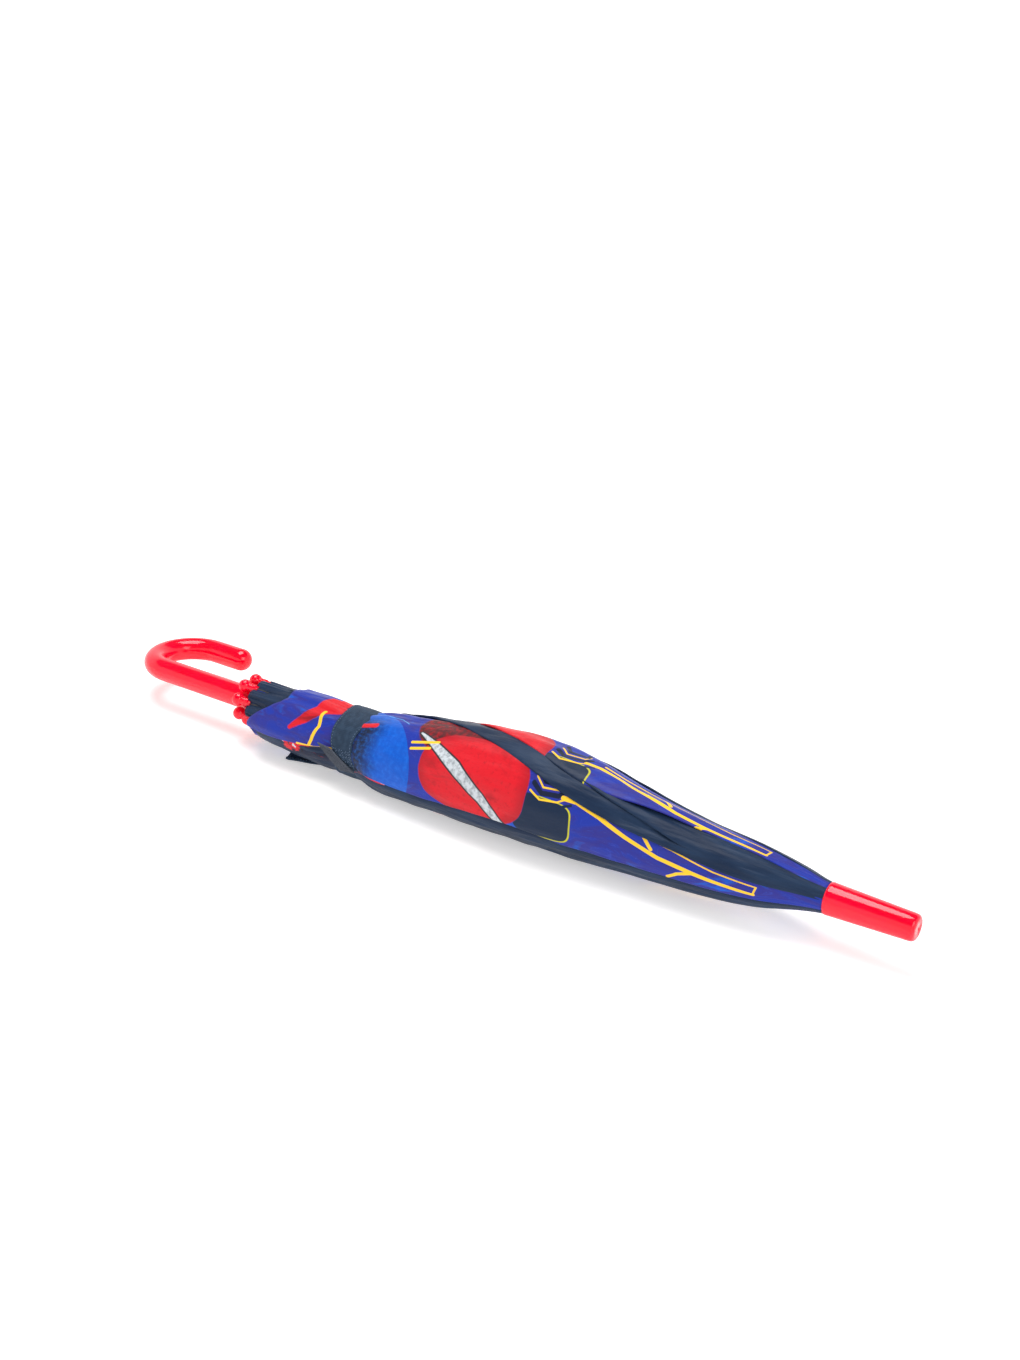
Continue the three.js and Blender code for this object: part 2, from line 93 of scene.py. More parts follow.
# %% Axis, ends and ribs
MM = 0.001
joints = {joint["child"]: joint for joint in frame["joints"]}
ratios = {c["joint"]: c["ratio"] for c in frame["record"]["behaviour"]["couplings"]}
cap_low, cap_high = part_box("end_cap")
pivot_x = joints["rib_1"]["pos_m"][0] / MM
axis_y = (cap_low.y + cap_high.y) / 2 / MM
axis_z = (cap_low.z + cap_high.z) / 2 / MM
cap_start = cap_low.x / MM
cap_end = cap_high.x / MM
hem_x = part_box("gore_2")[0].x / MM
open_angle = math.radians(joints["rib_1"]["range_deg"][1])
RIBS = 8
print("shaft axis at y, z", round(axis_y, 2), round(axis_z, 2), "pivots at x", round(pivot_x, 2))
print("cap from", round(cap_start, 1), "to", round(cap_end, 1), "hem at", round(hem_x, 1))


# %% [markdown]
# ## Two small tools for making meshes
# Almost every piece here is a skin over rows of points: a tube, a cap, a flap of cloth. One helper turns
# a grid of points into quads, and another places a point at a distance from the shaft, at an angle
# round it. Angle 0 points to the far side, 90 points up and 180 points to the near side.

# %% Grid and polar helpers
def polar(x, radius, degrees, centre=None):
    """Points at x, at a distance from an axis along X and an angle round it."""
    centre_y, centre_z = centre or (axis_y, axis_z)
    turn = np.radians(degrees)
    return np.stack([x + 0 * turn, centre_y + radius * np.cos(turn), centre_z + radius * np.sin(turn)], -1)


def grid_faces(rows, columns, ring=False):
    """Quads between rows of points. In a ring, the end of each row joins its start."""
    faces = []
    for i in range(rows - 1):
        here, there = i * columns, (i + 1) * columns
        for k in range(columns if ring else columns - 1):
            after = (k + 1) % columns
            faces.append((here + k, there + k, there + after, here + after))
    return faces


def make_piece(name, points, faces, material, smooth=True):
    mesh = bpy.data.meshes.new(name)
    mesh.from_pydata((np.asarray(points, float) * MM).tolist(), [], faces)
    mesh.polygons.foreach_set("use_smooth", [smooth] * len(mesh.polygons))
    mesh.materials.append(material)
    piece = bpy.data.objects.new(name, mesh)
    bpy.context.scene.collection.objects.link(piece)
    return piece


def face_outwards(piece, weld=True):
    """Turns all faces outwards. Points that lie together are first welded."""
    shape = bmesh.new()
    shape.from_mesh(piece.data)
    if weld:
        bmesh.ops.remove_doubles(shape, verts=shape.verts, dist=1e-6)
    bmesh.ops.recalc_face_normals(shape, faces=shape.faces)
    shape.to_mesh(piece.data)
    shape.free()
    return piece


def smooth_line(points, x):
    """A smooth curve through a few (x, value) points, flat beyond both ends."""
    xs, ys = np.array(points, float).T
    slopes = np.gradient(ys, xs)
    x = np.clip(np.asarray(x, float), xs[0], xs[-1])
    i = np.clip(np.searchsorted(xs, x) - 1, 0, len(xs) - 2)
    width = xs[i + 1] - xs[i]
    t = (x - xs[i]) / width
    return (
        ys[i] * (1 + 2 * t) * (1 - t) ** 2 + ys[i + 1] * t * t * (3 - 2 * t)
        + width * (slopes[i] * t * (1 - t) ** 2 - slopes[i + 1] * t * t * (1 - t))
    )


def ease(t):
    t = np.clip(t, 0, 1)
    return t * t * (3 - 2 * t)


# %% [markdown]
# ## Camera, table and light
# The camera looks down on the umbrella from the near side, past the cap, with a long lens. The table is a
# plain pale sheet that runs far past the view. Light comes from two large soft panels, and a white room
# fills the shadows. Glossy plastic shows what surrounds it, so the panels also draw its bright bands.

# %% Camera
view_azimuth, view_elevation = math.radians(35.34), math.radians(25.0)
view_distance, view_right, view_up = 0.9929, 0.03002, 0.05845
camera_right = Vector((math.cos(view_azimuth), math.sin(view_azimuth), 0))
camera_back = Vector((
    math.sin(view_azimuth) * math.cos(view_elevation),
    -math.cos(view_azimuth) * math.cos(view_elevation),
    math.sin(view_elevation),
))
camera_up = camera_back.cross(camera_right)
aim = Vector((0, axis_y * MM, axis_z * MM))
camera_data = bpy.data.cameras.new("camera")
camera_data.lens = 41.42
camera_data.sensor_width = 36
camera = bpy.data.objects.new("camera", camera_data)
camera.matrix_world = Matrix((camera_right, camera_up, camera_back)).transposed().to_4x4()
camera.location = aim + camera_back * view_distance + camera_right * view_right + camera_up * view_up
bpy.context.scene.collection.objects.link(camera)
bpy.context.scene.camera = camera
bpy.context.scene.view_settings.view_transform = "Standard"
print("camera", [round(v, 3) for v in camera.location])


# %% Table and lights
def plain_material(name, colour, roughness):
    material = bpy.data.materials.new(name)
    material.use_nodes = True
    shader = material.node_tree.nodes["Principled BSDF"]
    shader.inputs["Base Color"].default_value = (*colour, 1)
    shader.inputs["Roughness"].default_value = roughness
    return material


def level_square(name, half, height, material, corners=(0, 1, 2, 3)):
    """A flat square, seen from above, or from below with its corners in reverse."""
    points = [(x * half, y * half, height) for x, y in ((-1, -1), (1, -1), (1, 1), (-1, 1))]
    return make_piece(name, points, [corners], material, smooth=False)


table_material = plain_material("pale_table", (0.80, 0.79, 0.785), 0.6)
glow = table_material.node_tree.nodes["Principled BSDF"].inputs
glow["Emission Color"].default_value = (1.0, 0.985, 0.975, 1)
glow["Emission Strength"].default_value = 0.42
glow["Specular IOR Level"].default_value = 0.1
table = level_square("table", 30000, -0.05, table_material)


def soft_panel(name, place, size, power):
    light = bpy.data.lights.new(name, "AREA")
    light.shape = "RECTANGLE"
    light.size, light.size_y = size
    light.energy = power
    panel = bpy.data.objects.new(name, light)
    panel.location = place
    panel.rotation_euler = (aim - Vector(place)).to_track_quat("-Z", "Y").to_euler()
    bpy.context.scene.collection.objects.link(panel)
    return panel


soft_panel("panel_above", (-0.35, 0.25, 1.7), (1.1, 1.1), 30)
soft_panel("panel_side", (1.3, -0.5, 1.1), (0.9, 0.9), 9)
ceiling_material = plain_material("ceiling_grey", (0.10, 0.10, 0.10), 0.9)
ceiling = level_square("dark_ceiling", 2600, 1900, ceiling_material, corners=(3, 2, 1, 0))
ceiling.visible_camera = False
world = bpy.data.worlds.new("room")
world.use_nodes = True
world.node_tree.nodes["Background"].inputs["Color"].default_value = (1, 1, 1, 1)
world.node_tree.nodes["Background"].inputs["Strength"].default_value = 1.12
bpy.context.scene.world = world
print("two soft panels under a dark ceiling, in a white room")


# %% [markdown]
# ## A short language for surface patterns
# A printed cloth is drawing done with distances: a line is every point nearer than half its width to a
# path, and a disc is every point nearer than its radius to a centre. The Pattern class below writes such
# distances as shader nodes, so each drawing step reads as one line of code.

# %% Pattern language
def add_node(tree, kind, inputs=(), **settings):
    """A new node. Each input is a plain value or the output of another node."""
    node = tree.nodes.new(kind)
    for key, value in settings.items():
        setattr(node, key, value)
    for place, value in (inputs.items() if isinstance(inputs, dict) else enumerate(inputs)):
        if isinstance(value, bpy.types.NodeSocket):
            tree.links.new(value, node.inputs[place])
        else:
            node.inputs[place].default_value = value
    return node


class Pattern:
    """Adds shader nodes to one material and joins them."""

    def __init__(self, name):
        self.material = bpy.data.materials.new(name)
        self.material.use_nodes = True
        self.tree = self.material.node_tree
        self.shader = self.tree.nodes["Principled BSDF"]

    def add(self, kind, inputs=(), output=0, **settings):
        return add_node(self.tree, kind, inputs, **settings).outputs[output]

    def math(self, operation, *values, clamp=False):
        return self.add("ShaderNodeMath", values, operation=operation, use_clamp=clamp)

    def plus(self, first, second):
        return self.math("ADD", first, second)

    def times(self, first, second):
        return self.math("MULTIPLY", first, second)

    def vector(self, operation, *values):
        output = "Value" if operation in ("LENGTH", "DOT_PRODUCT", "DISTANCE") else "Vector"
        return self.add("ShaderNodeVectorMath", values, output, operation=operation)

    def scaled(self, vector, factor):
        return self.add("ShaderNodeVectorMath", {0: vector, "Scale": factor}, "Vector", operation="SCALE")

    def noise(self, vector, scale, detail=3.0, roughness=0.5, distortion=0.0):
        return self.add("ShaderNodeTexNoise", {
            "Vector": vector, "Scale": scale, "Detail": detail,
            "Roughness": roughness, "Distortion": distortion,
        })

    def band(self, value, low, high):
        """0 below low, 1 above high, smooth between."""
        return self.add("ShaderNodeMapRange", {0: value, 1: low, 2: high}, interpolation_type="SMOOTHSTEP")

    def paint(self, under, cover, colour):
        """colour laid over under where cover is 1."""
        colour = colour if isinstance(colour, bpy.types.NodeSocket) else (*colour, 1)
        under = under if isinstance(under, bpy.types.NodeSocket) else (*under, 1)
        return self.add("ShaderNodeMix", {0: cover, 6: under, 7: colour}, 2, data_type="RGBA")

    def tint(self, under, value, low, high, colour, strength=1.0):
        """colour laid over under as value rises from low to high."""
        cover = self.band(value, low, high)
        return self.paint(under, cover if strength == 1.0 else self.times(cover, strength), colour)

    def draw(self, under, distance, colour, soft=0.3):
        """colour laid over under inside a shape."""
        return self.paint(under, self.ink(distance, soft), colour)

    def ink(self, distance, soft=0.3):
        """1 inside a shape, 0 outside it."""
        return self.math("SUBTRACT", 0.5, self.math("DIVIDE", distance, soft), clamp=True)

    def stroke(self, place, points, radii):
        """Distance to a path with a round brush, below 0 inside the brush."""
        nearest = None
        for (a, b), (ra, rb) in zip(zip(points, points[1:]), zip(radii, radii[1:])):
            along = Vector((b[0] - a[0], b[1] - a[1], 0))
            offset = self.vector("SUBTRACT", place, (*a, 0))
            reach = self.vector("DOT_PRODUCT", offset, tuple(along))
            share = self.math("MULTIPLY", reach, 1 / along.length_squared, clamp=True)
            gap = self.vector("DISTANCE", offset, self.scaled(tuple(along), share))
            gap = self.math("SUBTRACT", gap, self.math("MULTIPLY_ADD", share, rb - ra, ra))
            nearest = gap if nearest is None else self.math("MINIMUM", nearest, gap)
        return nearest

    def line(self, place, points, width):
        return self.stroke(place, points, [width / 2] * len(points))

    def oval(self, place, centre, size, power=2.0):
        """Below 0 inside a rounded shape of that centre and half size, in millimetres near its edge."""
        share = self.vector("DIVIDE", self.vector("SUBTRACT", place, (*centre, 0)), (*size, 1))
        across, up, _ = self.split(self.vector("ABSOLUTE", share))
        total = self.plus(self.math("POWER", across, power), self.math("POWER", up, power))
        return self.times(self.math("SUBTRACT", self.math("POWER", total, 1 / power), 1), min(size))

    def split(self, vector):
        return add_node(self.tree, "ShaderNodeSeparateXYZ", (vector,)).outputs

    def finish(self, colour, bump, bump_height, **values):
        """Links a colour and a relief, and sets the shader's other inputs by name."""
        relief = {"Height": bump, "Distance": bump_height, "Strength": 1.0}
        normal = self.add("ShaderNodeBump", relief, "Normal")
        inputs = {"Base Color": colour, "Normal": normal}
        inputs.update({key.replace("_", " "): value for key, value in values.items()})
        for key, value in inputs.items():
            if isinstance(value, bpy.types.NodeSocket):
                self.tree.links.new(value, self.shader.inputs[key])
            else:
                self.shader.inputs[key].default_value = value
        return self.material


# %% [markdown]
# ## Red plastic
# The handle, the cap and the tips are one glossy moulding plastic, a little see-through, so light sinks
# in and softens the edges. A faint cloudiness in the colour and a shallow ripple in the gloss keep large
# surfaces from looking like paint.

# %% Red plastic
def red_plastic():
    pattern = Pattern("red_plastic")
    place = pattern.add("ShaderNodeTexCoord", output="Object")
    cloud = pattern.noise(place, 40.0, 2.0)
    colour = pattern.tint((0.88, 0.0, 0.020), cloud, 0.3, 0.7, (0.96, 0.0, 0.028))
    ripple = pattern.noise(place, 120.0, 2.0)
    return pattern.finish(
        colour, ripple, 0.00003, Roughness=0.10, IOR=1.45,
        Subsurface_Weight=0.15, Subsurface_Radius=(1.0, 0.05, 0.04), Subsurface_Scale=0.002,
    )


red = red_plastic()


# %% [markdown]
# ## The handle
# A real hook is one moulded tube: a straight grip, a half circle, and a short leg with a round end. A
# profile swept along that path gives it, and the CAD box gives the path its sizes.

# %% Handle
def sweep(name, path, radii, material, sides=48):
    """A closed tube along a path of points, with a radius at each."""
    path = np.asarray(path, float)
    along = np.gradient(path, axis=0)
    along /= np.linalg.norm(along, axis=1)[:, None]
    side = np.cross(along[0], (0, 0, 1.0))
    rows = []
    for point, forward, radius in zip(path, along, radii):
        side = side - forward * (side @ forward)
        side /= np.linalg.norm(side)
        other = np.cross(forward, side)
        turn = np.linspace(0, 2 * np.pi, sides, endpoint=False)
        rows.append(point + radius * (np.cos(turn)[:, None] * side + np.sin(turn)[:, None] * other))
    points = np.concatenate(rows + [path[:1], path[-1:]])
    count = len(path)
    faces = grid_faces(count, sides, ring=True)
    for k in range(sides):
        after = (k + 1) % sides
        faces.append((count * sides, k, after))
        faces.append((count * sides + 1, (count - 1) * sides + after, (count - 1) * sides + k))
    return face_outwards(make_piece(name, points, faces, material))


handle_low, handle_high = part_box("crook_handle")
grip_radius = 8.25
crook_radius = 26
crook_leg = 33
crook_lean = math.radians(-5)
grip_top = handle_high.x / MM
bend_x = handle_low.x / MM + grip_radius + crook_radius


def handle_path():
    rounding = np.linspace(0, math.pi / 2, 13)[1:]
    straight = [(x, 0) for x in np.linspace(grip_top, bend_x, 26)]
    bend = [
        (bend_x - crook_radius * math.sin(t), crook_radius * (1 - math.cos(t)))
        for t in np.linspace(0, math.pi, 49)[1:]
    ]
    end = bend_x + crook_leg - grip_radius
    leg = [(x, 2 * crook_radius) for x in np.linspace(bend_x, end, 8)[1:]]
    cap = [(end + grip_radius * math.sin(t), 2 * crook_radius) for t in rounding]
    flat = np.array(straight + bend + leg + cap)
    radii = np.full(len(flat), grip_radius)
    radii[-len(rounding):] = [grip_radius * max(math.cos(t), 0.02) for t in rounding]
    radii[0] = grip_radius * 0.86
    points = np.stack([
        flat[:, 0],
        axis_y + flat[:, 1] * math.cos(crook_lean),
        axis_z + flat[:, 1] * math.sin(crook_lean),
    ], -1)
    return points, radii


handle = sweep("hooked_handle", *handle_path(), red, sides=64)
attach(handle, "stick")
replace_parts(handle, "crook_handle")
print("handle from x", round(handle_low.x / MM, 1), "to", round(grip_top, 1))


# %% [markdown]
# ## The end cap
# The cap is a turned shape: a straight taper from a rim that holds the cloth to a rounded flat tip with a
# small vent hole. A half outline spun round the shaft makes it.

# %% End cap
def lathe(name, outline, material, sides=96, centre=None):
    """A closed turned shape. The outline is (x, radius) from one end on the axis to the other."""
    turn = np.linspace(0, 360, sides, endpoint=False)
    points = np.concatenate([polar(x, radius, turn, centre) for x, radius in outline])
    return face_outwards(make_piece(name, points, grid_faces(len(outline), sides, ring=True), material))


def cap_outline(base=9.55, tip=7.8, rounding=2.6, hole=0.75, hole_depth=3.0, rim=0.5, on_axis=0.001):
    start, end = cap_start, cap_end
    outline = [(start + 2.0, on_axis), (start + 2.0, base - 1.3), (start, base - 1.1)]
    outline += [(start, base - rim), (start + rim * 0.4, base - rim * 0.1), (start + 1.4, base)]
    for share in np.linspace(0.06, 0.94, 12):
        outline.append((start + (end - start) * share, base + (tip - base) * share))
    for turn in np.linspace(0, math.pi / 2, 9):
        outline.append((end - rounding * (1 - math.sin(turn)), tip - rounding * (1 - math.cos(turn))))
    outline += [(end, hole + 0.3), (end - 0.3, hole), (end - hole_depth, hole), (end - hole_depth, on_axis)]
    return outline


cap = lathe("tapered_cap", cap_outline(), red)
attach(cap, "stick")
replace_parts(cap, "end_cap")
print("cap length", round(cap_end - cap_start, 1))

# %% [markdown]
# ## Ball tips
# Each rib ends in a ball on a ribbed neck. The hem is sewn to the neck. All eight are one turned shape
# moved to the places of the frame's own tips.

# %% Ball tips
def ball_tip(number, ball=4.5, neck=2.6, ridge_pitch=1.5, ridge_height=0.25, on_axis=0.01):
    low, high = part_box(f"ball_tip_{number}")
    centre_x = low.x / MM + ball
    centre = ((low.y + high.y) / 2 / MM, (low.z + high.z) / 2 / MM)
    outline = [(-ball * math.cos(t), max(ball * math.sin(t), on_axis)) for t in np.linspace(0, 2.55, 22)]
    ridge_start = outline[-1][0] + 0.4
    for ridge in range(4):
        x = ridge_start + ridge * ridge_pitch
        for step, side in ((0, -1), (0.3, 1), (0.9, 1), (1.2, -1)):
            outline.append((x + step, neck + side * ridge_height))
    neck_end = (high.x - low.x) / MM - ball
    outline += [(neck_end, neck - 0.3), (neck_end, on_axis)]
    tip = lathe(f"ball_{number}", [(centre_x + x, radius) for x, radius in outline], red, 32, centre)
    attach(tip, f"rib_{number}")
    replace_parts(tip, f"ball_tip_{number}")
    return tip


tips = [ball_tip(number) for number in range(1, RIBS + 1)]
print("ball tips", len(tips))


# %% [markdown]
# ## The print on the cloth
# Four of the eight gores carry a print: a royal blue ground with brushed clouds, a red ringed planet, a
# comet, an azure field and yellow tracks that fork like a circuit. It is drawn in the cloth's own
# coordinates. U runs along the rib and V runs up from the fold of the flap, both in millimetres over a
# hundred, so the drawing follows every curve of the cloth and opens with the gores.

# %% Colours of the cloth
ROYAL = (0.014, 0.034, 0.33)
VIOLET = (0.030, 0.028, 0.23)
AZURE = (0.002, 0.088, 0.52)
NIGHT = (0.008, 0.014, 0.040)
NAVY = (0.0088, 0.021, 0.052)
# The lighter navy is painted light: the colour of a lit fold facet on the plain navy cloth.
NAVY_LIT_FACET = (0.016, 0.036, 0.080)
RED = (0.66, 0.012, 0.022)
RED_DARK = (0.30, 0.008, 0.014)
BROWN = (0.085, 0.014, 0.018)
YELLOW = (0.93, 0.56, 0.035)
SILVER = (0.58, 0.62, 0.66)


def cloth_place(pattern):
    """The cloth's own coordinates in millimetres: along the rib, and up from the fold."""
    uv = pattern.add("ShaderNodeUVMap", uv_map="cloth", output="UV")
    return pattern.scaled(uv, 100.0)


def drawn_out(pattern, place, share):
    """The place squeezed along the rib, so that a noise read there is long in that direction."""
    return pattern.vector("MULTIPLY", place, (share, 1.0, 1.0))


def cloth_relief(pattern, place, crease):
    """Height of a fine plain weave, a thread every half millimetre or so, with long soft creases."""
    u, v, _ = pattern.split(place)
    warp = pattern.math("SINE", pattern.times(u, 11.0))
    weft = pattern.math("SINE", pattern.times(v, 11.0))
    weave = pattern.math("MULTIPLY_ADD", pattern.times(warp, weft), 0.5, 0.5)
    return pattern.plus(pattern.times(weave, 0.12), pattern.times(crease, 7.0))


# %% Printed cloth
def printed_cloth():
    pattern = Pattern("printed_cloth")
    place = cloth_place(pattern)
    along, up, _ = pattern.split(place)
    brush = pattern.noise(drawn_out(pattern, place, 0.5), 0.055, 4.0, 0.55, 1.2)
    fine = pattern.noise(place, 0.35, 4.0, 0.6)

    # Ground: royal blue with violet and brighter brushed clouds, and thin level lines
    ground = pattern.tint(ROYAL, brush, 0.42, 0.62, VIOLET)
    ground = pattern.tint(ground, brush, 0.58, 0.72, (0.006, 0.085, 0.52))
    levels = pattern.math("PINGPONG", pattern.times(brush, 9.0), 0.5)
    ground = pattern.tint(ground, levels, 0.44, 0.5, (0.05, 0.09, 0.60), 0.25)

    # Azure field, with its dark left side and a sharp bowed right edge
    above = pattern.math("SUBTRACT", up, 8.0)
    edge = pattern.plus(along, pattern.times(pattern.times(above, 0.022), above))
    left_side = pattern.plus(along, pattern.times(brush, 14.0))
    azure = pattern.tint(NIGHT, left_side, -58.0, -38.0, AZURE)
    azure = pattern.tint(azure, up, 30.0, 46.0, (0.022, 0.11, 0.50))
    azure = pattern.tint(azure, fine, 0.4, 0.75, (0.01, 0.19, 0.78), 0.35)
    field = pattern.times(pattern.ink(pattern.plus(edge, 20.5)), pattern.band(left_side, -74.0, -60.0))
    ground = pattern.paint(ground, field, azure)
    rim = pattern.line(place, [(-58, 47), (-46, 46), (-37, 41)], 0.7)
    ground = pattern.paint(ground, pattern.times(pattern.ink(rim), 0.6), (0.15, 0.5, 0.9))

    # Comet: a red brushed tail that swells towards the strap
    comet_path = [(-126, 11), (-117, 20), (-109, 32), (-101, 45), (-95, 58)]
    comet = pattern.stroke(place, comet_path, [2.4, 4.4, 6.8, 12.5, 15.0])
    comet = pattern.plus(comet, pattern.times(fine, 1.6))
    shade = pattern.tint(RED, brush, 0.50, 0.66, RED_DARK)
    shade = pattern.tint(shade, fine, 0.62, 0.80, (0.20, 0.012, 0.016))
    ground = pattern.draw(ground, comet, shade, 1.0)
    spot = pattern.stroke(place, [(-72, 30.5), (-60, 33.5)], [2.0, 2.2])
    ground = pattern.draw(ground, spot, RED, 0.8)

    # Ringed planet: brown night side, red day side, silver ring with a dark rim
    night_side = pattern.oval(place, (8, 46), (36, 21), 2.2)
    ground = pattern.draw(ground, night_side, pattern.tint(BROWN, fine, 0.4, 0.7, RED_DARK), 0.8)
    planet = pattern.oval(place, (27, 20), (41, 22.5), 2.7)
    day = pattern.tint(RED, brush, 0.46, 0.64, (0.46, 0.010, 0.018))
    day = pattern.tint(day, fine, 0.50, 0.80, RED_DARK, 0.55)
    day = pattern.tint(day, planet, -5.0, 0.0, (0.45, 0.010, 0.02))
    ground = pattern.draw(ground, planet, day, 0.4)
    ring_path = [(-22, 36), (-6, 30), (14, 22), (36, 11), (56, -3)]
    ring = pattern.stroke(place, ring_path, [0.6, 2.2, 3.4, 3.0, 1.6])
    ground = pattern.draw(ground, pattern.math("SUBTRACT", ring, 1.0), (0.03, 0.022, 0.028), 0.4)
    shine = pattern.tint((0.30, 0.33, 0.36), fine, 0.35, 0.60, SILVER)
    ground = pattern.draw(ground, ring, shine, 0.4)

    # Navy island beside the planet, with nested angular tracks over it
    island = pattern.oval(place, (80, 10.5), (19.5, 12), 4.0)
    off_planet = pattern.ink(pattern.times(planet, -1.0), 0.4)
    ground = pattern.paint(ground, pattern.times(pattern.ink(island), off_planet), NAVY)
    outline = pattern.math("SUBTRACT", pattern.math("ABSOLUTE", pattern.plus(island, 0.4)), 0.3)
    right_part = pattern.times(pattern.ink(outline), pattern.band(along, 72.0, 78.0))
    ground = pattern.paint(ground, right_part, (0.55, 0.52, 0.03))
    nested = ((0.0, 1.6, NAVY), (3.2, 1.0, YELLOW), (6.6, 2.6, NIGHT), (9.6, 0.9, YELLOW), (12.6, 2.2, NIGHT))
    for lift, width, colour in nested:
        step = [
            (69 + 0.2 * lift, 20 + 1.2 * lift), (77, 17.5 + lift),
            (88, 19 + lift), (97 - 0.8 * lift, 23 + lift),
        ]
        ground = pattern.draw(ground, pattern.line(place, step, width), colour)

    # The part of the print that only shows in the fold underneath: dark, with red strokes
    hidden = pattern.tint(NIGHT, brush, 0.47, 0.53, RED)
    hidden = pattern.tint(hidden, fine, 0.56, 0.66, (0.012, 0.006, 0.012))
    hidden = pattern.tint(hidden, brush, 0.60, 0.62, SILVER)
    ground = pattern.tint(ground, up, 200.0, 201.0, hidden)

    # Yellow tracks
    tracks = [
        ([(-105, 33), (-103.5, 18), (-108, 2)], 2.4),
        ([(-118, 0.6), (-104, 1.6), (-88, 4.6)], 2.4),
        ([(-25, 28.5), (-6, 33)], 1.7),
        ([(-24, 24.6), (-10, 28)], 1.7),
        ([(91, 25.5), (100, 25.8), (116, 22), (134, 15.6), (156, 8.6), (178, 5.2), (214, 0.4)], 2.6),
        ([(214, 0.4), (215.5, 8), (190, 10.5), (165, 16.5), (101, 29)], 1.1),
        ([(163, -3), (169, 1.6), (178, 5.2)], 2.2),
        ([(145, 20), (151, 13)], 2.2),
    ]
    for path, width in tracks:
        ground = pattern.draw(ground, pattern.line(place, path, width), YELLOW, 0.35)

    crease = pattern.noise(drawn_out(pattern, place, 0.25), 0.16, 3.0, 0.55)
    height = cloth_relief(pattern, place, crease)
    return pattern.finish(ground, height, 0.00012, Roughness=0.42, Specular_IOR_Level=0.16)


# %% [markdown]
# ## Plain navy cloth
# The other four gores are the same satin polyester, dyed plain navy. Its folds show as lighter and darker
# facets. Long creases in the relief shade them, and the colour also drifts at random, in long streaks along
# the rib, towards a lighter navy. That lighter navy is painted light on the lit facets.

# %% Plain navy cloth
def navy_cloth():
    pattern = Pattern("navy_cloth")
    place = cloth_place(pattern)
    # Painted light: random streaks along the rib lighten the navy towards the colour of lit fold facets.
    lit_facet_streaks = pattern.noise(drawn_out(pattern, place, 0.3), 0.08, 3.0)
    colour = pattern.tint(NAVY, lit_facet_streaks, 0.35, 0.7, NAVY_LIT_FACET)
    crease = pattern.noise(drawn_out(pattern, place, 0.18), 0.20, 3.0, 0.6)
    height = cloth_relief(pattern, place, crease)
    return pattern.finish(colour, height, 0.00012, Roughness=0.45, Specular_IOR_Level=0.14)


printed = printed_cloth()
navy = navy_cloth()
print("cloth materials", printed.name, len(printed.node_tree.nodes), "nodes;", navy.name)


# %% [markdown]
# ## How the furled cloth lies
# Furled, each gore makes a flap of two layers that winds round the bundle, and every flap laps over the
# next. What shows is one strip of each flap, from under its neighbour's edge to its own folded edge. The
# outline of the whole bundle comes first: its radius towards the upper far side and the lower near side,
# pinched under the strap. Then each flap gets the angle of its folded edge along the shaft.

# %% Outline of the bundle
NECK_X, STRAP_X = -84, -82.0
TAPER_X, TAPER_LENGTH = 190, 58
OUTLINE_LEAN = 60
TABLE_GAP = 0.35
upper_outline = [
    (-180, 18.0), (-140, 18.3), (-110, 18.6), (NECK_X, 17.4), (-55, 22.9), (-20, 28.3), (20, 33.8),
    (60, 37.3), (90, 33.6), (130, 25.6), (170, 19.3), (210, 15.9), (238, 11.6), (250, 9.0), (256, 8.4),
]
lower_outline = [
    (-180, 20.8), (-160, 22.8), (-135, 24.8), (-110, 25.4), (NECK_X, 24.6), (-55, 28.6), (0, 29.6),
    (60, 28.2), (110, 25.6), (160, 23.0), (190, 20.6), (215, 17.0), (238, 11.2), (250, 9.0), (256, 8.4),
]


def under_top(radius, degrees, height):
    """The radius, cut where the point would sink lower than height below the shaft."""
    down = np.maximum(-np.sin(np.radians(degrees)), 1e-6)
    return np.minimum(radius, height / down)


def bundle_radius(x, degrees):
    lean = np.cos(np.radians(degrees - OUTLINE_LEAN))
    loose = (smooth_line(upper_outline, x) * (1 + lean) + smooth_line(lower_outline, x) * (1 - lean)) / 2
    room_for_tail = 2.0 * ease((x + 155) / 15) * ease((-85 - x) / 20)
    return under_top(loose, degrees, axis_z - TABLE_GAP - room_for_tail)


# %% Folded edges of the flaps
# Each edge gives the angle of a flap's fold at places along the shaft, the same places for all far flaps.
def far_edge(*angles):
    return list(zip((-180, -100, -34, 35, 100, 166, 251), angles))


upper_printed_edge = [
    (-180, -40), (-100, -15), (-34, 34), (0, 60), (37, 86), (58, 97), (77, 106), (103, 114), (122, 113),
    (140, 109), (207, 108), (251, 118),
]
crease_edge = [(90, 108), (110, 116), (144, 129), (170, 143), (192, 150), (223, 147), (251, 139)]
near_navy_edge = [
    (-180, -10), (-100, 22), (-34, 64), (-18, 76), (11, 93), (67, 121), (116, 141), (160, 152),
    (205, 163), (251, 162),
]
near_printed_edge = [
    (-180, 191), (-150, 193), (-116, 188), (-90, 180), (-62, 195), (-34, 199), (0, 194), (50, 187), (98, 195),
    (150, 197), (251, 202),
]
under_edge = [(-170, 198), (-150, 206), (-116, 210), (-90, 206), (-62, 207), (-40, 202)]
upper_print_shift = [(40, -20), (85, -24), (150, -34), (214, -41), (252, -45)]
print("radius at the thickest place", round(float(bundle_radius(60.0, OUTLINE_LEAN)), 1))


# %% [markdown]
# ## One flap
# A flap is one sheet: it starts hidden under the flap before it, rises to the surface, and at its edge it
# folds round and runs back underneath. Long pleats fan out from the cap, where eight gores' worth of
# cloth is gathered, and short wrinkles radiate from the strap. The end at the hem is cut at a slant,
# because the folded edge is the longest line of the gore.

# %% Flap maker
CLOTH_PER_DEGREE, FOLD_ANGLE = 0.48, 190


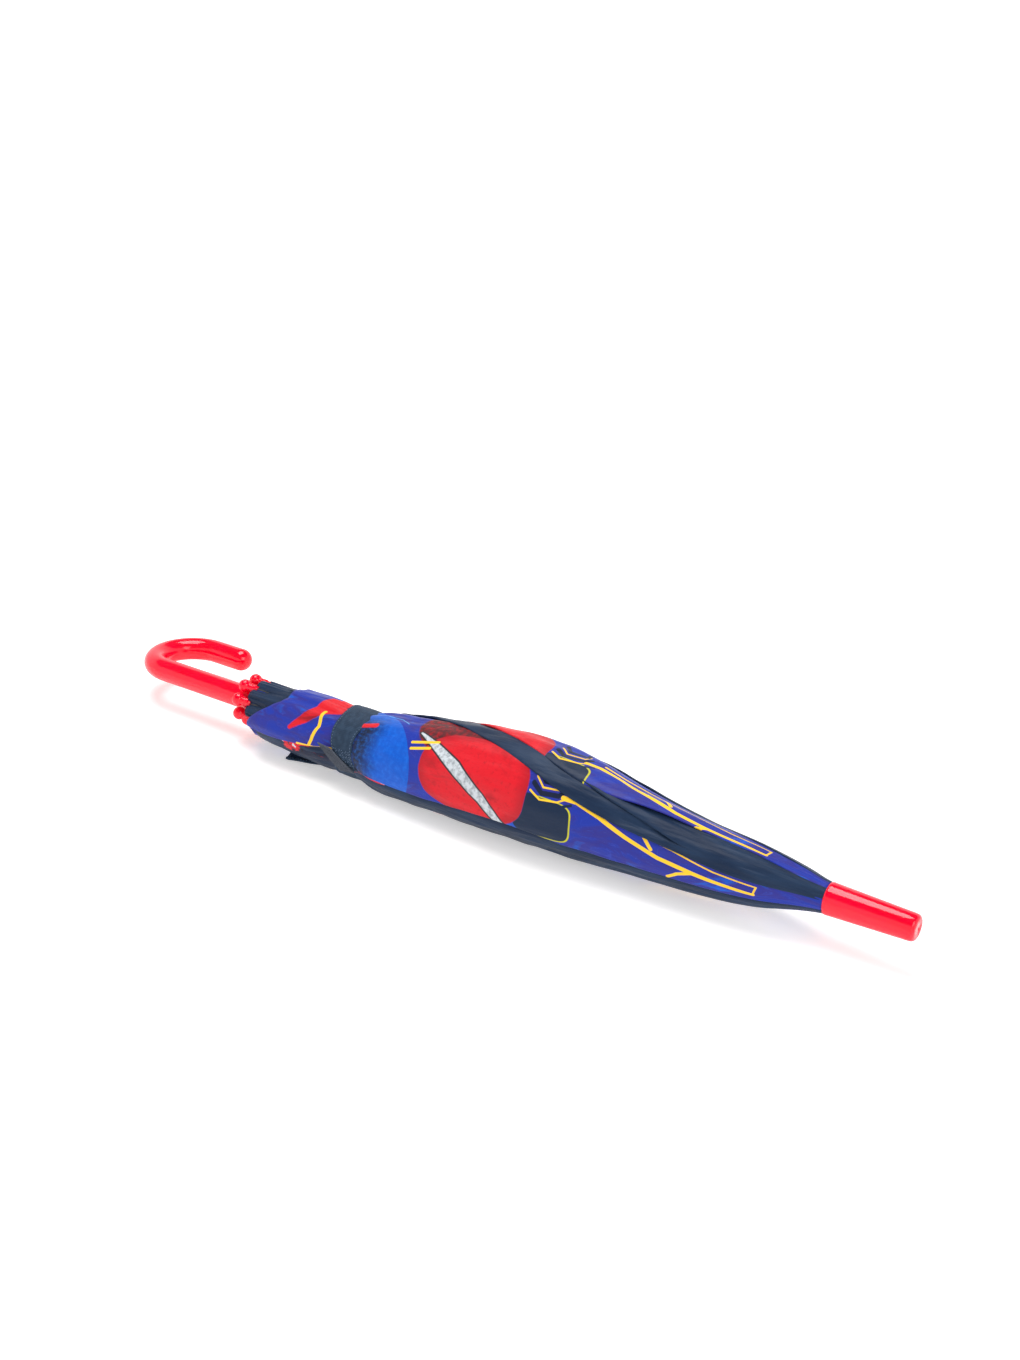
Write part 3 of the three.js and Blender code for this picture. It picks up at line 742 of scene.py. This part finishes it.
def flap(name, material, start_edge, end_edge, lift=1.0, first_x=hem_x, last_x=252.3, hem_slant=0.0,
         pleat=0.5, seed=0, tuck=16.0, print_shift=0.0, start_depth=-1.5, overlap=22.0, edge_opening=()):
    """A lapped flap between two edges, each a list of (x, angle). Returns the unfinished piece."""
    rows, outer, fold, inner = 190, 72, 7, 12
    surface, edge_roll, cloth = 0.15, 16.0, 0.55
    points, coordinates = [], []
    for x0 in first_x + (last_x - first_x) * np.linspace(0, 1, rows):
        start = float(smooth_line(start_edge, x0)) - overlap
        end = float(smooth_line(end_edge, x0))
        near_cap = ease((x0 - TAPER_X) / TAPER_LENGTH)
        flatter = 1 - 0.88 * near_cap
        rise = lift * flatter
        for middle, width, amount in edge_opening:
            rise += amount * math.exp(-(((x0 - middle) / width) ** 2))
        depth = start_depth * flatter

        # The outer layer: hidden at its start, then at the surface, then up to the folded edge
        v = np.linspace(0, 1, outer)
        theta = start + (end - start) * v
        edge_radius = float(bundle_radius(np.array([x0]), np.array([end]))[0])
        from_edge = np.radians(end - theta) * edge_radius
        buried = max(0.25, 1.15 * overlap / (end - start))
        offset = depth + (surface - depth) * ease(v / buried)
        offset = offset + (rise - surface) * ease(1 - from_edge / edge_roll) * ease(v / 0.6)

        # The fold round the edge, then the way back underneath
        thick = cloth * (1 - 0.5 * near_cap)
        turn = np.linspace(0, np.pi, fold + 2)[1:-1]
        fold_theta = end + np.degrees(thick * np.sin(turn) / edge_radius)
        fold_offset = rise - thick * (1 - np.cos(turn))
        back = np.linspace(0, 1, inner)
        back_theta = end - np.degrees(tuck / edge_radius) * back
        back_start = rise - 2 * thick
        back_offset = back_start + (depth - 0.2 - back_start) * ease(back)
        theta = np.concatenate([theta, fold_theta, back_theta])
        offset = np.concatenate([offset, fold_offset, back_offset])
        x = x0 + hem_slant * ease(np.abs(end - theta) / 75.0) * (1 - ease((x0 - first_x) / 90.0))

        # Pleats from the cap, wrinkles beside the strap and soft unevenness, all calm under the strap
        around = np.radians(theta)
        fan = 0.35 + 0.65 * ease((x0 - 60) / 110)
        pleats = np.sin(around * 9 + seed + 0.012 * x0) * 0.6 + np.sin(around * 17 + 2.1 * seed) * 0.4
        pleats = pleats * pleat * fan * (1 - 0.8 * near_cap)
        from_neck = x - NECK_X
        beside_strap = np.exp(-((from_neck / 26) ** 2)) * (1 - np.exp(-((from_neck / 12) ** 2)))
        pinch = 1.15 * beside_strap * np.sin(around * 13 + seed + x * 0.05)
        soft = np.array([
            noise.noise(Vector((at / 45.0, angle / 24.0, seed * 7.3)))
            + 0.5 * noise.noise(Vector((at / 17.0, angle / 11.0, seed + 3.1)))
            for at, angle in zip(x, theta)
        ])
        rough = 1.1 * (1 - 0.8 * ease((x0 - 60) / 120)) + 0.15
        calm = 1 - 0.85 * np.exp(-(((x - STRAP_X) / 15) ** 4))
        uneven = (pleats + pinch + soft * rough) * calm
        radius = bundle_radius(x, theta) + offset * (0.35 + 0.65 * calm) + uneven
        points.append(polar(x, under_top(radius, theta, axis_z - 0.25), theta))
        shift = smooth_line(print_shift, x) if isinstance(print_shift, list) else print_shift
        coordinates.append(np.stack([x, CLOTH_PER_DEGREE * (FOLD_ANGLE - theta) + shift + 0 * x], -1))
    faces = grid_faces(rows, outer + fold + inner)
    piece = make_piece(name, np.concatenate(points), faces, material)
    set_cloth_uv(piece, np.concatenate(coordinates))
    return piece


def set_cloth_uv(piece, coordinates):
    layer = piece.data.uv_layers.new(name="cloth")
    index = np.zeros(len(piece.data.loops), np.int32)
    piece.data.loops.foreach_get("vertex_index", index)
    layer.data.foreach_set("uv", (np.asarray(coordinates)[index] / 100.0).astype(np.float32).ravel())


def thicken(piece, thickness=0.25):
    """Gives a sheet its cloth thickness, inwards."""
    wall = piece.modifiers.new("cloth_thickness", "SOLIDIFY")
    wall.thickness = thickness * MM
    wall.offset = -1
    return piece


def gather_when_open(piece):
    """Fixes a furled flap to the stick, on a mesh of its own."""
    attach(piece, "stick")
    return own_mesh(piece)


# %% Wind the flaps
# From the bottom of the bundle upwards and over. Each flap has its cloth, its folded edge, and how far that
# edge stands off the layer below. Two more follow: a crease in the navy gore, and a fold that shows under the
# near flap.
order = [
    ("bottom_flap", navy, far_edge(-112, -112, -110, -110, -112, -112, -110), 0.6,
     {"first_x": -160.0, "start_depth": -3.0, "overlap": 8.0}),
    ("back_low_printed_flap", printed, far_edge(-98, -95, -90, -85, -78, -72, -65), 1.0, {}),
    ("back_navy_flap", navy, far_edge(-84, -75, -62, -48, -36, -25, -12), 1.2, {}),
    ("back_printed_flap", printed, far_edge(-70, -52, -32, -10, 4, 18, 35), 1.0, {}),
    ("far_navy_flap", navy, far_edge(-55, -32, -4, 24, 45, 63, 82), 1.0, {}),
    ("upper_printed_flap", printed, upper_printed_edge, 1.3,
     {"edge_opening": ((142, 32, 2.4),), "print_shift": upper_print_shift}),
    ("near_navy_flap", navy, near_navy_edge, 1.2, {"pleat": 0.8, "start_depth": -2.8}),
    ("near_printed_flap", printed, near_printed_edge, 0.9,
     {"hem_slant": 26.0, "first_x": -166.0, "edge_opening": ((-145, 24, 2.6), (-60, 14, 1.0)), "pleat": 0.3}),
]
flaps = []
previous = [(x, angle - 360) for x, angle in near_printed_edge]
for number, (name, cloth, edge, lift, extra) in enumerate(order, 1):
    turned = float(smooth_line(near_printed_edge, 100.0) - smooth_line(edge, 100.0))
    shift = -CLOTH_PER_DEGREE * turned if cloth is printed else 0.0
    options = {"lift": lift, "seed": number, "print_shift": shift, **extra}
    flaps.append(flap(name, cloth, previous, edge, **options))
    previous = edge
flaps.append(flap(
    "navy_crease_flap", navy, upper_printed_edge, crease_edge, lift=2.0, first_x=97.0, seed=11,
    start_depth=-0.9, overlap=5.0))
flaps.append(flap(
    "under_fold", printed, near_printed_edge, under_edge, lift=0.9, first_x=-163.0, last_x=-42.0, seed=17,
    pleat=0.9, start_depth=-1.8, overlap=10.0, tuck=5.0, print_shift=240.0))
for piece in flaps:
    thicken(piece)
    gather_when_open(piece)
print("furled flaps", len(flaps), "faces", sum(len(piece.data.polygons) for piece in flaps))


# %% [markdown]
# ## The inner sleeve and the hem
# Under the flaps the gores run straight along the ribs. At the hem they are sewn to the ball tips, so the
# edge is pinched at each rib and billows between. One sleeve round the bundle shows that ruffle, and its
# end turns in between the ribs, where it is dark.

# %% Sleeve and ruffled hem
def sleeve(sides=288, first_x=-40.0, under_flaps=2.0):
    turn = np.linspace(0, 360, sides, endpoint=False)
    rib_phase = np.radians((turn - 22.5) * RIBS)
    between = 0.5 - 0.5 * np.cos(rib_phase)
    frill = np.sin(np.radians(turn * 27 + 40)) * 0.7 + np.sin(np.radians(turn * 43)) * 0.4
    rows = []
    for x in np.linspace(first_x, hem_x, 46):
        near_hem = ease((-x - 140) / 35)
        skin = bundle_radius(x, turn) - under_flaps
        gathered = 14.2 + 3.4 * between ** 0.6 + (skin - 19.0) * 0.25 + frill * 0.8
        radius = skin * (1 - near_hem) + np.minimum(gathered, skin + 0.4) * near_hem
        rows.append((x + 0 * turn, polar(x + near_hem * frill * 0.8, radius, turn)))
    edge = rows[-1][1]
    axis = np.array([axis_y, axis_z])
    for inward, shrink in ((0.2, 0.985), (2.0, 0.95), (6.0, 0.86), (10.0, 0.72)):
        row = edge.copy()
        row[:, 0] += inward
        row[:, 1:] = axis + (row[:, 1:] - axis) * shrink
        rows.append((row[:, 0], row))
    points = np.concatenate([row for _, row in rows])
    points[:, 2] = np.maximum(points[:, 2], 0.6)
    piece = make_piece("hem_sleeve", points, grid_faces(len(rows), sides, ring=True), navy)
    set_cloth_uv(piece, np.concatenate([np.stack([along, CLOTH_PER_DEGREE * turn], -1) for along, _ in rows]))
    return gather_when_open(thicken(piece))


hem_sleeve = sleeve()
print("hem sleeve faces", len(hem_sleeve.data.polygons))


# %% [markdown]
# ## The strap
# A band of navy webbing goes once round the bundle and pinches it. Webbing is woven, so it has fine cords
# along its length and a line of stitches near each edge. It is swept round the bundle as a thin closed
# band. The band's loose end comes out underneath and lies on the table.

# %% Webbing and hook tape
def webbing():
    pattern = Pattern("navy_webbing")
    place = cloth_place(pattern)
    along, across, _ = pattern.split(place)
    cords = pattern.math("SINE", pattern.times(across, 9.0))
    picks = pattern.math("SINE", pattern.times(along, 5.2))
    shade = pattern.noise(place, 0.25, 3.0)
    colour = pattern.tint((0.014, 0.030, 0.058), shade, 0.35, 0.7, (0.026, 0.050, 0.090))
    colour = pattern.tint(colour, cords, -0.2, 1.0, (0.040, 0.070, 0.115), 0.30)
    height = pattern.plus(pattern.times(cords, 0.6), pattern.times(picks, 0.4))
    return pattern.finish(colour, height, 0.00008, Roughness=0.60, Specular_IOR_Level=0.15)


def hook_tape():
    pattern = Pattern("grey_hook_tape")
    hooks = pattern.add("ShaderNodeTexVoronoi", {"Vector": cloth_place(pattern), "Scale": 1.5}, "Distance")
    colour = pattern.tint((0.030, 0.036, 0.050), hooks, 0.1, 0.5, (0.085, 0.095, 0.12))
    return pattern.finish(colour, hooks, 0.0003, Roughness=0.75, Specular_IOR_Level=0.15)


webbing_cloth = webbing()
tape_cloth = hook_tape()
thread = plain_material("pale_blue_thread", (0.10, 0.15, 0.24), 0.6)


# %% Band maker
def band(name, rows, thickness, material):
    """A thin closed band. rows are (points across, outward direction), one for each step along it."""
    across = len(rows[0][0])
    points, coordinates = [], []
    run = 0.0
    for i, (line, outward) in enumerate(rows):
        if i:
            run += float(np.linalg.norm(line[across // 2] - rows[i - 1][0][across // 2]))
        side = np.concatenate([[0], np.cumsum(np.linalg.norm(np.diff(line, axis=0), axis=1))])
        top = line + outward * (thickness / 2)
        under = (line - outward * (thickness / 2))[::-1]
        points += [top, under]
        coordinates.append(np.stack([np.full(2 * across, run), np.concatenate([side, side[::-1]])], -1))
    faces = grid_faces(len(rows), 2 * across, ring=True)
    faces.append(tuple(range(2 * across)))
    last = (len(rows) - 1) * 2 * across
    faces.append(tuple(reversed(range(last, last + 2 * across))))
    piece = make_piece(name, np.concatenate(points), faces, material)
    set_cloth_uv(piece, np.concatenate(coordinates))
    face_outwards(piece, weld=False)
    rounding = piece.modifiers.new("soft_edges", "BEVEL")
    rounding.width = 0.28 * MM
    rounding.segments = 2
    rounding.limit_method = "ANGLE"
    return piece


# %% Strap loop
STRAP_RISE = 1.5
STRAP_FROM, STRAP_TO = -160, 202
strap_middle = [
    (STRAP_FROM, -78), (-120, -82), (-60, -85), (0, -85.5), (60, -83), (95, -80), (125, -80), (150, -81.5),
    (172, -80), (STRAP_TO, -73),
]
strap_width = [
    (STRAP_FROM, 20), (0, 23.5), (100, 24), (125, 22.5), (150, 19.5), (172, 17.5), (STRAP_TO, 14.5),
]


def strap_point(degrees, share, rise=0.0):
    """A place on the strap: share runs from -1 at the handle side to 1 at the cap side."""
    x = smooth_line(strap_middle, degrees) + share * smooth_line(strap_width, degrees) / 2
    around = bundle_radius(np.full(5, STRAP_X), degrees + np.linspace(-8, 8, 5)).mean()
    belly = 0.5 * (1 - share * share)
    lap = 1.2 * ease((degrees - 150) / 40) + 0.25 * math.sin(math.radians(degrees * 3))
    radius = under_top(around + STRAP_RISE + rise + belly + lap, degrees, axis_z - 0.9)
    return polar(x, radius, degrees)


def strap_rows():
    rows = []
    for degrees in np.linspace(STRAP_FROM, STRAP_TO, 260):
        line = np.array([strap_point(degrees, share) for share in np.linspace(-1, 1, 11)])
        outward = np.array([0, math.cos(math.radians(degrees)), math.sin(math.radians(degrees))])
        rows.append((line, outward))
    return rows


strap = band("strap_band", strap_rows(), 1.0, webbing_cloth)


# %% Strap tail on the table
def tail_rows(length=44.0, width=13.0):
    """The loose end runs from under the bundle towards the handle, flat on the table."""
    start = np.array([-97.0, axis_y + 4.0, 1.3])
    end = np.array([-140.5, axis_y - 11.5, 1.0])
    forward = (end - start) / np.linalg.norm(end - start)
    side = np.cross((0, 0, 1.0), forward)
    rows = []
    for share in np.linspace(0, 1, 40):
        from_end = (1 - share) * length
        half = width / 2 * min(1.0, 0.80 + 0.20 * math.sin(min(from_end / 3.0, 1) * math.pi / 2))
        point = start + (end - start) * share
        point[2] += 0.9 * math.sin(share * math.pi) + 0.3 * math.sin(share * 9)
        bow = 1.6 * math.sin(share * math.pi)
        curl = np.linspace(-1, 1, 9)
        line = np.array([
            point + side * (c * half + bow) + np.array([0, 0, 0.5 * c * c * share]) for c in curl
        ])
        rows.append((line, np.array([0, 0, 1.0])))
    return rows


tail_line = tail_rows()
tail = band("strap_end", tail_line, 1.1, webbing_cloth)


# %% Hook tape
def tape_rows(thickness_below=4.6, ridges=8, ridge_height=0.16):
    """The tape lies slantwise over the strap's end, from its upper left corner to its lower right one."""
    upper_left, upper_right = np.array([-98.5, 173.0]), np.array([-87.5, 175.5])
    lower_left, lower_right = np.array([-79.5, 203.0]), np.array([-67.0, 199.5])
    rows = []
    for down in np.linspace(0, 1, 60):
        line = []
        for side in np.linspace(0, 1, 37):
            upper = upper_left * (1 - side) + upper_right * side
            lower = lower_left * (1 - side) + lower_right * side
            x, degrees = upper * (1 - down) + lower * down
            lift = thickness_below + ridge_height * math.sin(side * 2 * math.pi * ridges) + 0.8 * down * down
            line.append(polar(x, bundle_radius(STRAP_X, degrees) + lift, degrees))
        middle = math.radians(176 + 26 * down)
        rows.append((np.array(line), np.array([0, math.cos(middle), math.sin(middle)])))
    return rows


tape = band("hook_tape", tape_rows(), 0.9, tape_cloth)
print("strap, tail and tape made")


# %% [markdown]
# ## Stitches
# Thread shows as a row of short rounded dashes. Geometry Nodes lay them: a mesh of bare edges becomes
# curves, points are spread along each curve at the stitch pitch, and a small bead is set on every point,
# stretched along the thread.

# %% Stitch tree
def stitch_tree(material):
    tree = bpy.data.node_groups.new("thread_stitches", "GeometryNodeTree")
    tree.interface.new_socket("Geometry", in_out="INPUT", socket_type="NodeSocketGeometry")
    for title in ("Pitch", "Stitch length", "Thread radius"):
        tree.interface.new_socket(title, in_out="INPUT", socket_type="NodeSocketFloat")
    tree.interface.new_socket("Geometry", in_out="OUTPUT", socket_type="NodeSocketGeometry")
    given = add_node(tree, "NodeGroupInput").outputs
    curves = add_node(tree, "GeometryNodeMeshToCurve", {"Mesh": given["Geometry"]})
    to_points = {"Curve": curves.outputs[0], "Length": given["Pitch"]}
    spread = add_node(tree, "GeometryNodeCurveToPoints", to_points, mode="LENGTH")
    bead = add_node(tree, "GeometryNodeMeshUVSphere", {"Segments": 6, "Rings": 4, "Radius": 1.0})
    half = add_node(tree, "ShaderNodeMath", (given["Stitch length"], 0.5), operation="MULTIPLY")
    thread_radius = given["Thread radius"]
    size = add_node(tree, "ShaderNodeCombineXYZ", (thread_radius, thread_radius, half.outputs[0]))
    place = add_node(tree, "GeometryNodeInstanceOnPoints", {
        "Points": spread.outputs["Points"], "Rotation": spread.outputs["Rotation"],
        "Instance": bead.outputs["Mesh"], "Scale": size.outputs[0],
    })
    real = add_node(tree, "GeometryNodeRealizeInstances", (place.outputs[0],))
    finish = add_node(tree, "GeometryNodeSetMaterial", {"Geometry": real.outputs[0], "Material": material})
    add_node(tree, "NodeGroupOutput", (finish.outputs[0],))
    return tree


stitch_nodes = stitch_tree(thread)


def stitches(name, lines, pitch=2.0, length=1.3, radius=0.18):
    """Rows of thread dashes along lines of points, as one plain mesh."""
    points, edges = [], []
    for line in lines:
        first = len(points)
        points += [list(point) for point in line]
        edges += [(first + k, first + k + 1) for k in range(len(line) - 1)]
    mesh = bpy.data.meshes.new(name)
    mesh.from_pydata((np.array(points) * MM).tolist(), edges, [])
    guide = bpy.data.objects.new(name + "_guide", mesh)
    bpy.context.scene.collection.objects.link(guide)
    modifier = guide.modifiers.new("stitches", "NODES")
    modifier.node_group = stitch_nodes
    values = {"Pitch": pitch * MM, "Stitch length": length * MM, "Thread radius": radius * MM}
    for item in stitch_nodes.interface.items_tree:
        if item.in_out == "INPUT" and item.name in values:
            modifier[item.identifier] = values[item.name]
    bpy.context.view_layer.update()
    graph = bpy.context.evaluated_depsgraph_get()
    made = bpy.data.objects.new(name, bpy.data.meshes.new_from_object(guide.evaluated_get(graph)))
    bpy.context.scene.collection.objects.link(made)
    bpy.data.objects.remove(guide)
    made.data.polygons.foreach_set("use_smooth", [True] * len(made.data.polygons))
    print(name, "stitches", len(made.data.polygons) // 24)
    return made


# %% Stitches of the strap
ON_WEBBING = 0.62


def strap_stitches():
    """A line of stitches near each edge, and stars of thread where the end of the strap is sewn down."""
    lines = []
    for share in (-0.86, 0.86):
        lines.append([strap_point(degrees, share, 0.58) for degrees in np.linspace(-158, 200, 240)])
    for angle in (176.0, 182.2, 188.4, 194.6):
        for place in (-0.62, 0.0, 0.62):
            for turn in (0, 60, 120):
                reach_angle = 2.0 * math.sin(math.radians(turn))
                reach_share = 0.20 * math.cos(math.radians(turn))
                lines.append([
                    strap_point(angle + way * reach_angle, place + way * reach_share, ON_WEBBING)
                    for way in (-1, 1)
                ])
    return stitches("strap_stitches", lines)


strap_thread = strap_stitches()
above_tail = np.array([0, 0, ON_WEBBING])
tail_seams = [[row[0][column] + above_tail for row in tail_line] for column in (1, 7)]
tail_seams.append([point + above_tail for point in tail_line[-3][0][1:8]])
tail_thread = stitches("strap_end_stitches", tail_seams)

# %% Fix the strap to the canopy
# The strap hangs at the rib between the near gores, and moves with that gore as the canopy opens.
for piece in (strap, tail, strap_thread, tail_thread):
    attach(piece, "gore_4")
    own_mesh(piece)
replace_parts(strap, "strap_loop")
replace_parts(tail, "strap_tail")
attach(tape, "strap_tab")
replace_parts(tape, "strap_tab")


# %% [markdown]
# ## The gores that open
# When the ribs swing out, the cloth between two ribs spreads from a bundle into a taut curved panel. A
# blended mesh does this: each point turns with the rib before it, with the rib after it, or part of the
# way between. The wanted shape is the open one, so every point of the open panel is carried back to its
# place in the closed bundle, by searching for the share of the turn that leads from there to here. At
# rest these panels lie packed inside the flaps.

# %% Turns of the frame when open
def turn_about(joint, angle):
    place = Vector(joint["pos_m"]) / MM
    spin = Matrix.Rotation(angle, 4, Vector(joint["axis"]))
    return np.array(Matrix.Translation(place) @ spin @ Matrix.Translation(-place))


def carried(matrix, points):
    return points @ matrix[:3, :3].T + matrix[:3, 3]


rib_length = 429.0
hem_to_ball = 10.0


def rib_line(number, distance, above=1.0, at_pivot=7.5, rise=6.3, bow=11):
    """The cloth's line over a rib at rest, a little outside the wire."""
    share = distance / rib_length
    bowed = bow * share * (1 - share) ** 2 / (4 / 27)
    degrees = 22.5 + 45 * (number - 1)
    radius = at_pivot + rise * share + bowed + above
    return polar(pivot_x - distance, radius, np.full(np.shape(distance), degrees))


def open_panel(here, there, share, distance, sag=0.045, hem_curve=0.035):
    """The panel between two open ribs, sagging inwards, with its hem curved in towards the top."""
    middle = 4 * share * (1 - share)
    panel = here[:, None] * (1 - share)[None, :, None] + there[:, None] * share[None, :, None]
    shorter = np.clip(distance / distance[-1], 0, 1)[:, None] ** 3 * middle[None, :] * hem_curve
    top = panel[0].mean(axis=0)
    panel = panel + (top - panel) * shorter[..., None]
    chord = np.linalg.norm(there - here, axis=1)
    handlewards = np.array([-1.0, 0, 0])
    return panel + handlewards * (sag * chord[:, None] * middle[None, :])[..., None], chord


def blend_end(number, distance=200.0, inward=0.55):
    """A place inside a rib, where the cloth moves wholly with that rib."""
    point = rib_line(number, np.array([distance]))[0]
    on_axis = np.array([point[0], axis_y, axis_z])
    return on_axis + (point - on_axis) * inward


def dome_gore(number, rows=46, columns=29):
    rib, spread = joints[f"rib_{number}"], joints[f"gore_{number}"]
    follower = number % RIBS + 1
    out = turn_about(rib, open_angle)
    angle = open_angle * ratios[spread["name"]]
    distance = np.linspace(1.0, rib_length - hem_to_ball, rows)
    share = np.linspace(0, 1, columns)
    here = carried(out, rib_line(number, distance))
    there = carried(out @ turn_about(spread, angle), rib_line(follower, distance))
    panel, chord = open_panel(here, there, share, distance)
    pulled_back = carried(np.linalg.inv(out), panel.reshape(-1, 3))
    start_point, end_point = blend_end(number), blend_end(follower)
    across = end_point - start_point
    pivot = np.array(spread["pos_m"]) / MM
    axis = np.array(Vector(spread["axis"]).normalized())

    def at_rest(weight):
        turn = -weight * angle
        p = pulled_back - pivot
        c, s = np.cos(turn)[:, None], np.sin(turn)[:, None]
        return pivot + p * c + np.cross(axis, p) * s + axis * (p @ axis)[:, None] * (1 - c)

    # The share of the turn that leads back to its own place is found by halving
    low, high = np.zeros(len(pulled_back)), np.ones(len(pulled_back))
    for _ in range(40):
        guess = (low + high) / 2
        found = ease((at_rest(guess) - start_point) @ across / (across @ across))
        low = np.where(found > guess, guess, low)
        high = np.where(found > guess, high, guess)
    rest = at_rest((low + high) / 2)
    cloth = printed if number % 2 else navy
    piece = make_piece(f"open_gore_{number}", rest, grid_faces(rows, columns), cloth)
    side = (share - 0.5)[None, :] * chord[:, None]
    along = np.repeat((pivot_x - distance)[:, None], columns, 1)
    set_cloth_uv(piece, np.stack([along.ravel(), (side + 26.0).ravel()], -1))
    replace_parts(piece, f"gore_{number}")
    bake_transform(piece)
    return thicken(piece, 0.3)


dome = [dome_gore(number) for number in range(1, RIBS + 1)]
print("open gores", len(dome))


# %% [markdown]
# ## Metal, black plastic and the crown disc
# The working parts keep their CAD shapes. They get the finish of the real ones: bright plated steel for
# the shaft and the catches, thin black paint on the wire ribs, and satin black plastic for the notch and
# the runner.

# %% Finishes of the frame
def steel(name, colour, roughness, metallic=1.0):
    pattern = Pattern(name)
    place = pattern.add("ShaderNodeTexCoord", output="Object")
    drawn = pattern.noise(pattern.vector("MULTIPLY", place, (20.0, 900.0, 900.0)), 1.0, 3.0)
    tone = pattern.tint(tuple(0.86 * c for c in colour), drawn, 0.35, 0.65, colour)
    shine = pattern.math("MULTIPLY_ADD", drawn, 0.12, roughness - 0.06)
    return pattern.finish(tone, drawn, 0.00001, Metallic=metallic, Roughness=shine)


def black_plastic():
    pattern = Pattern("black_plastic")
    place = pattern.add("ShaderNodeTexCoord", output="Object")
    grain = pattern.noise(place, 900.0, 2.0)
    colour = pattern.tint((0.012, 0.012, 0.014), grain, 0.4, 0.6, (0.020, 0.020, 0.023))
    return pattern.finish(colour, grain, 0.00003, Roughness=0.38)


bright = steel("bright_steel", (0.72, 0.73, 0.75), 0.22)
dark = steel("dark_steel", (0.05, 0.052, 0.058), 0.38, 0.6)
black = black_plastic()
disc_cloth = plain_material("crown_disc_cloth", NAVY, 0.6)


def finish_of(node):
    if node.startswith(("rib_", "stretcher_")):
        return dark
    if node in ("top_notch", "runner"):
        return black
    return disc_cloth if node == "canopy_crown_disc" else bright


stood_for = {name for piece in bpy.data.objects for name in piece.get("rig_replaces", [])}
for node, piece in frame["nodes"].items():
    if node not in stood_for:
        piece.data.materials.clear()
        piece.data.materials.append(finish_of(node))
print("CAD parts kept in view", len(frame["nodes"]) - len(stood_for))
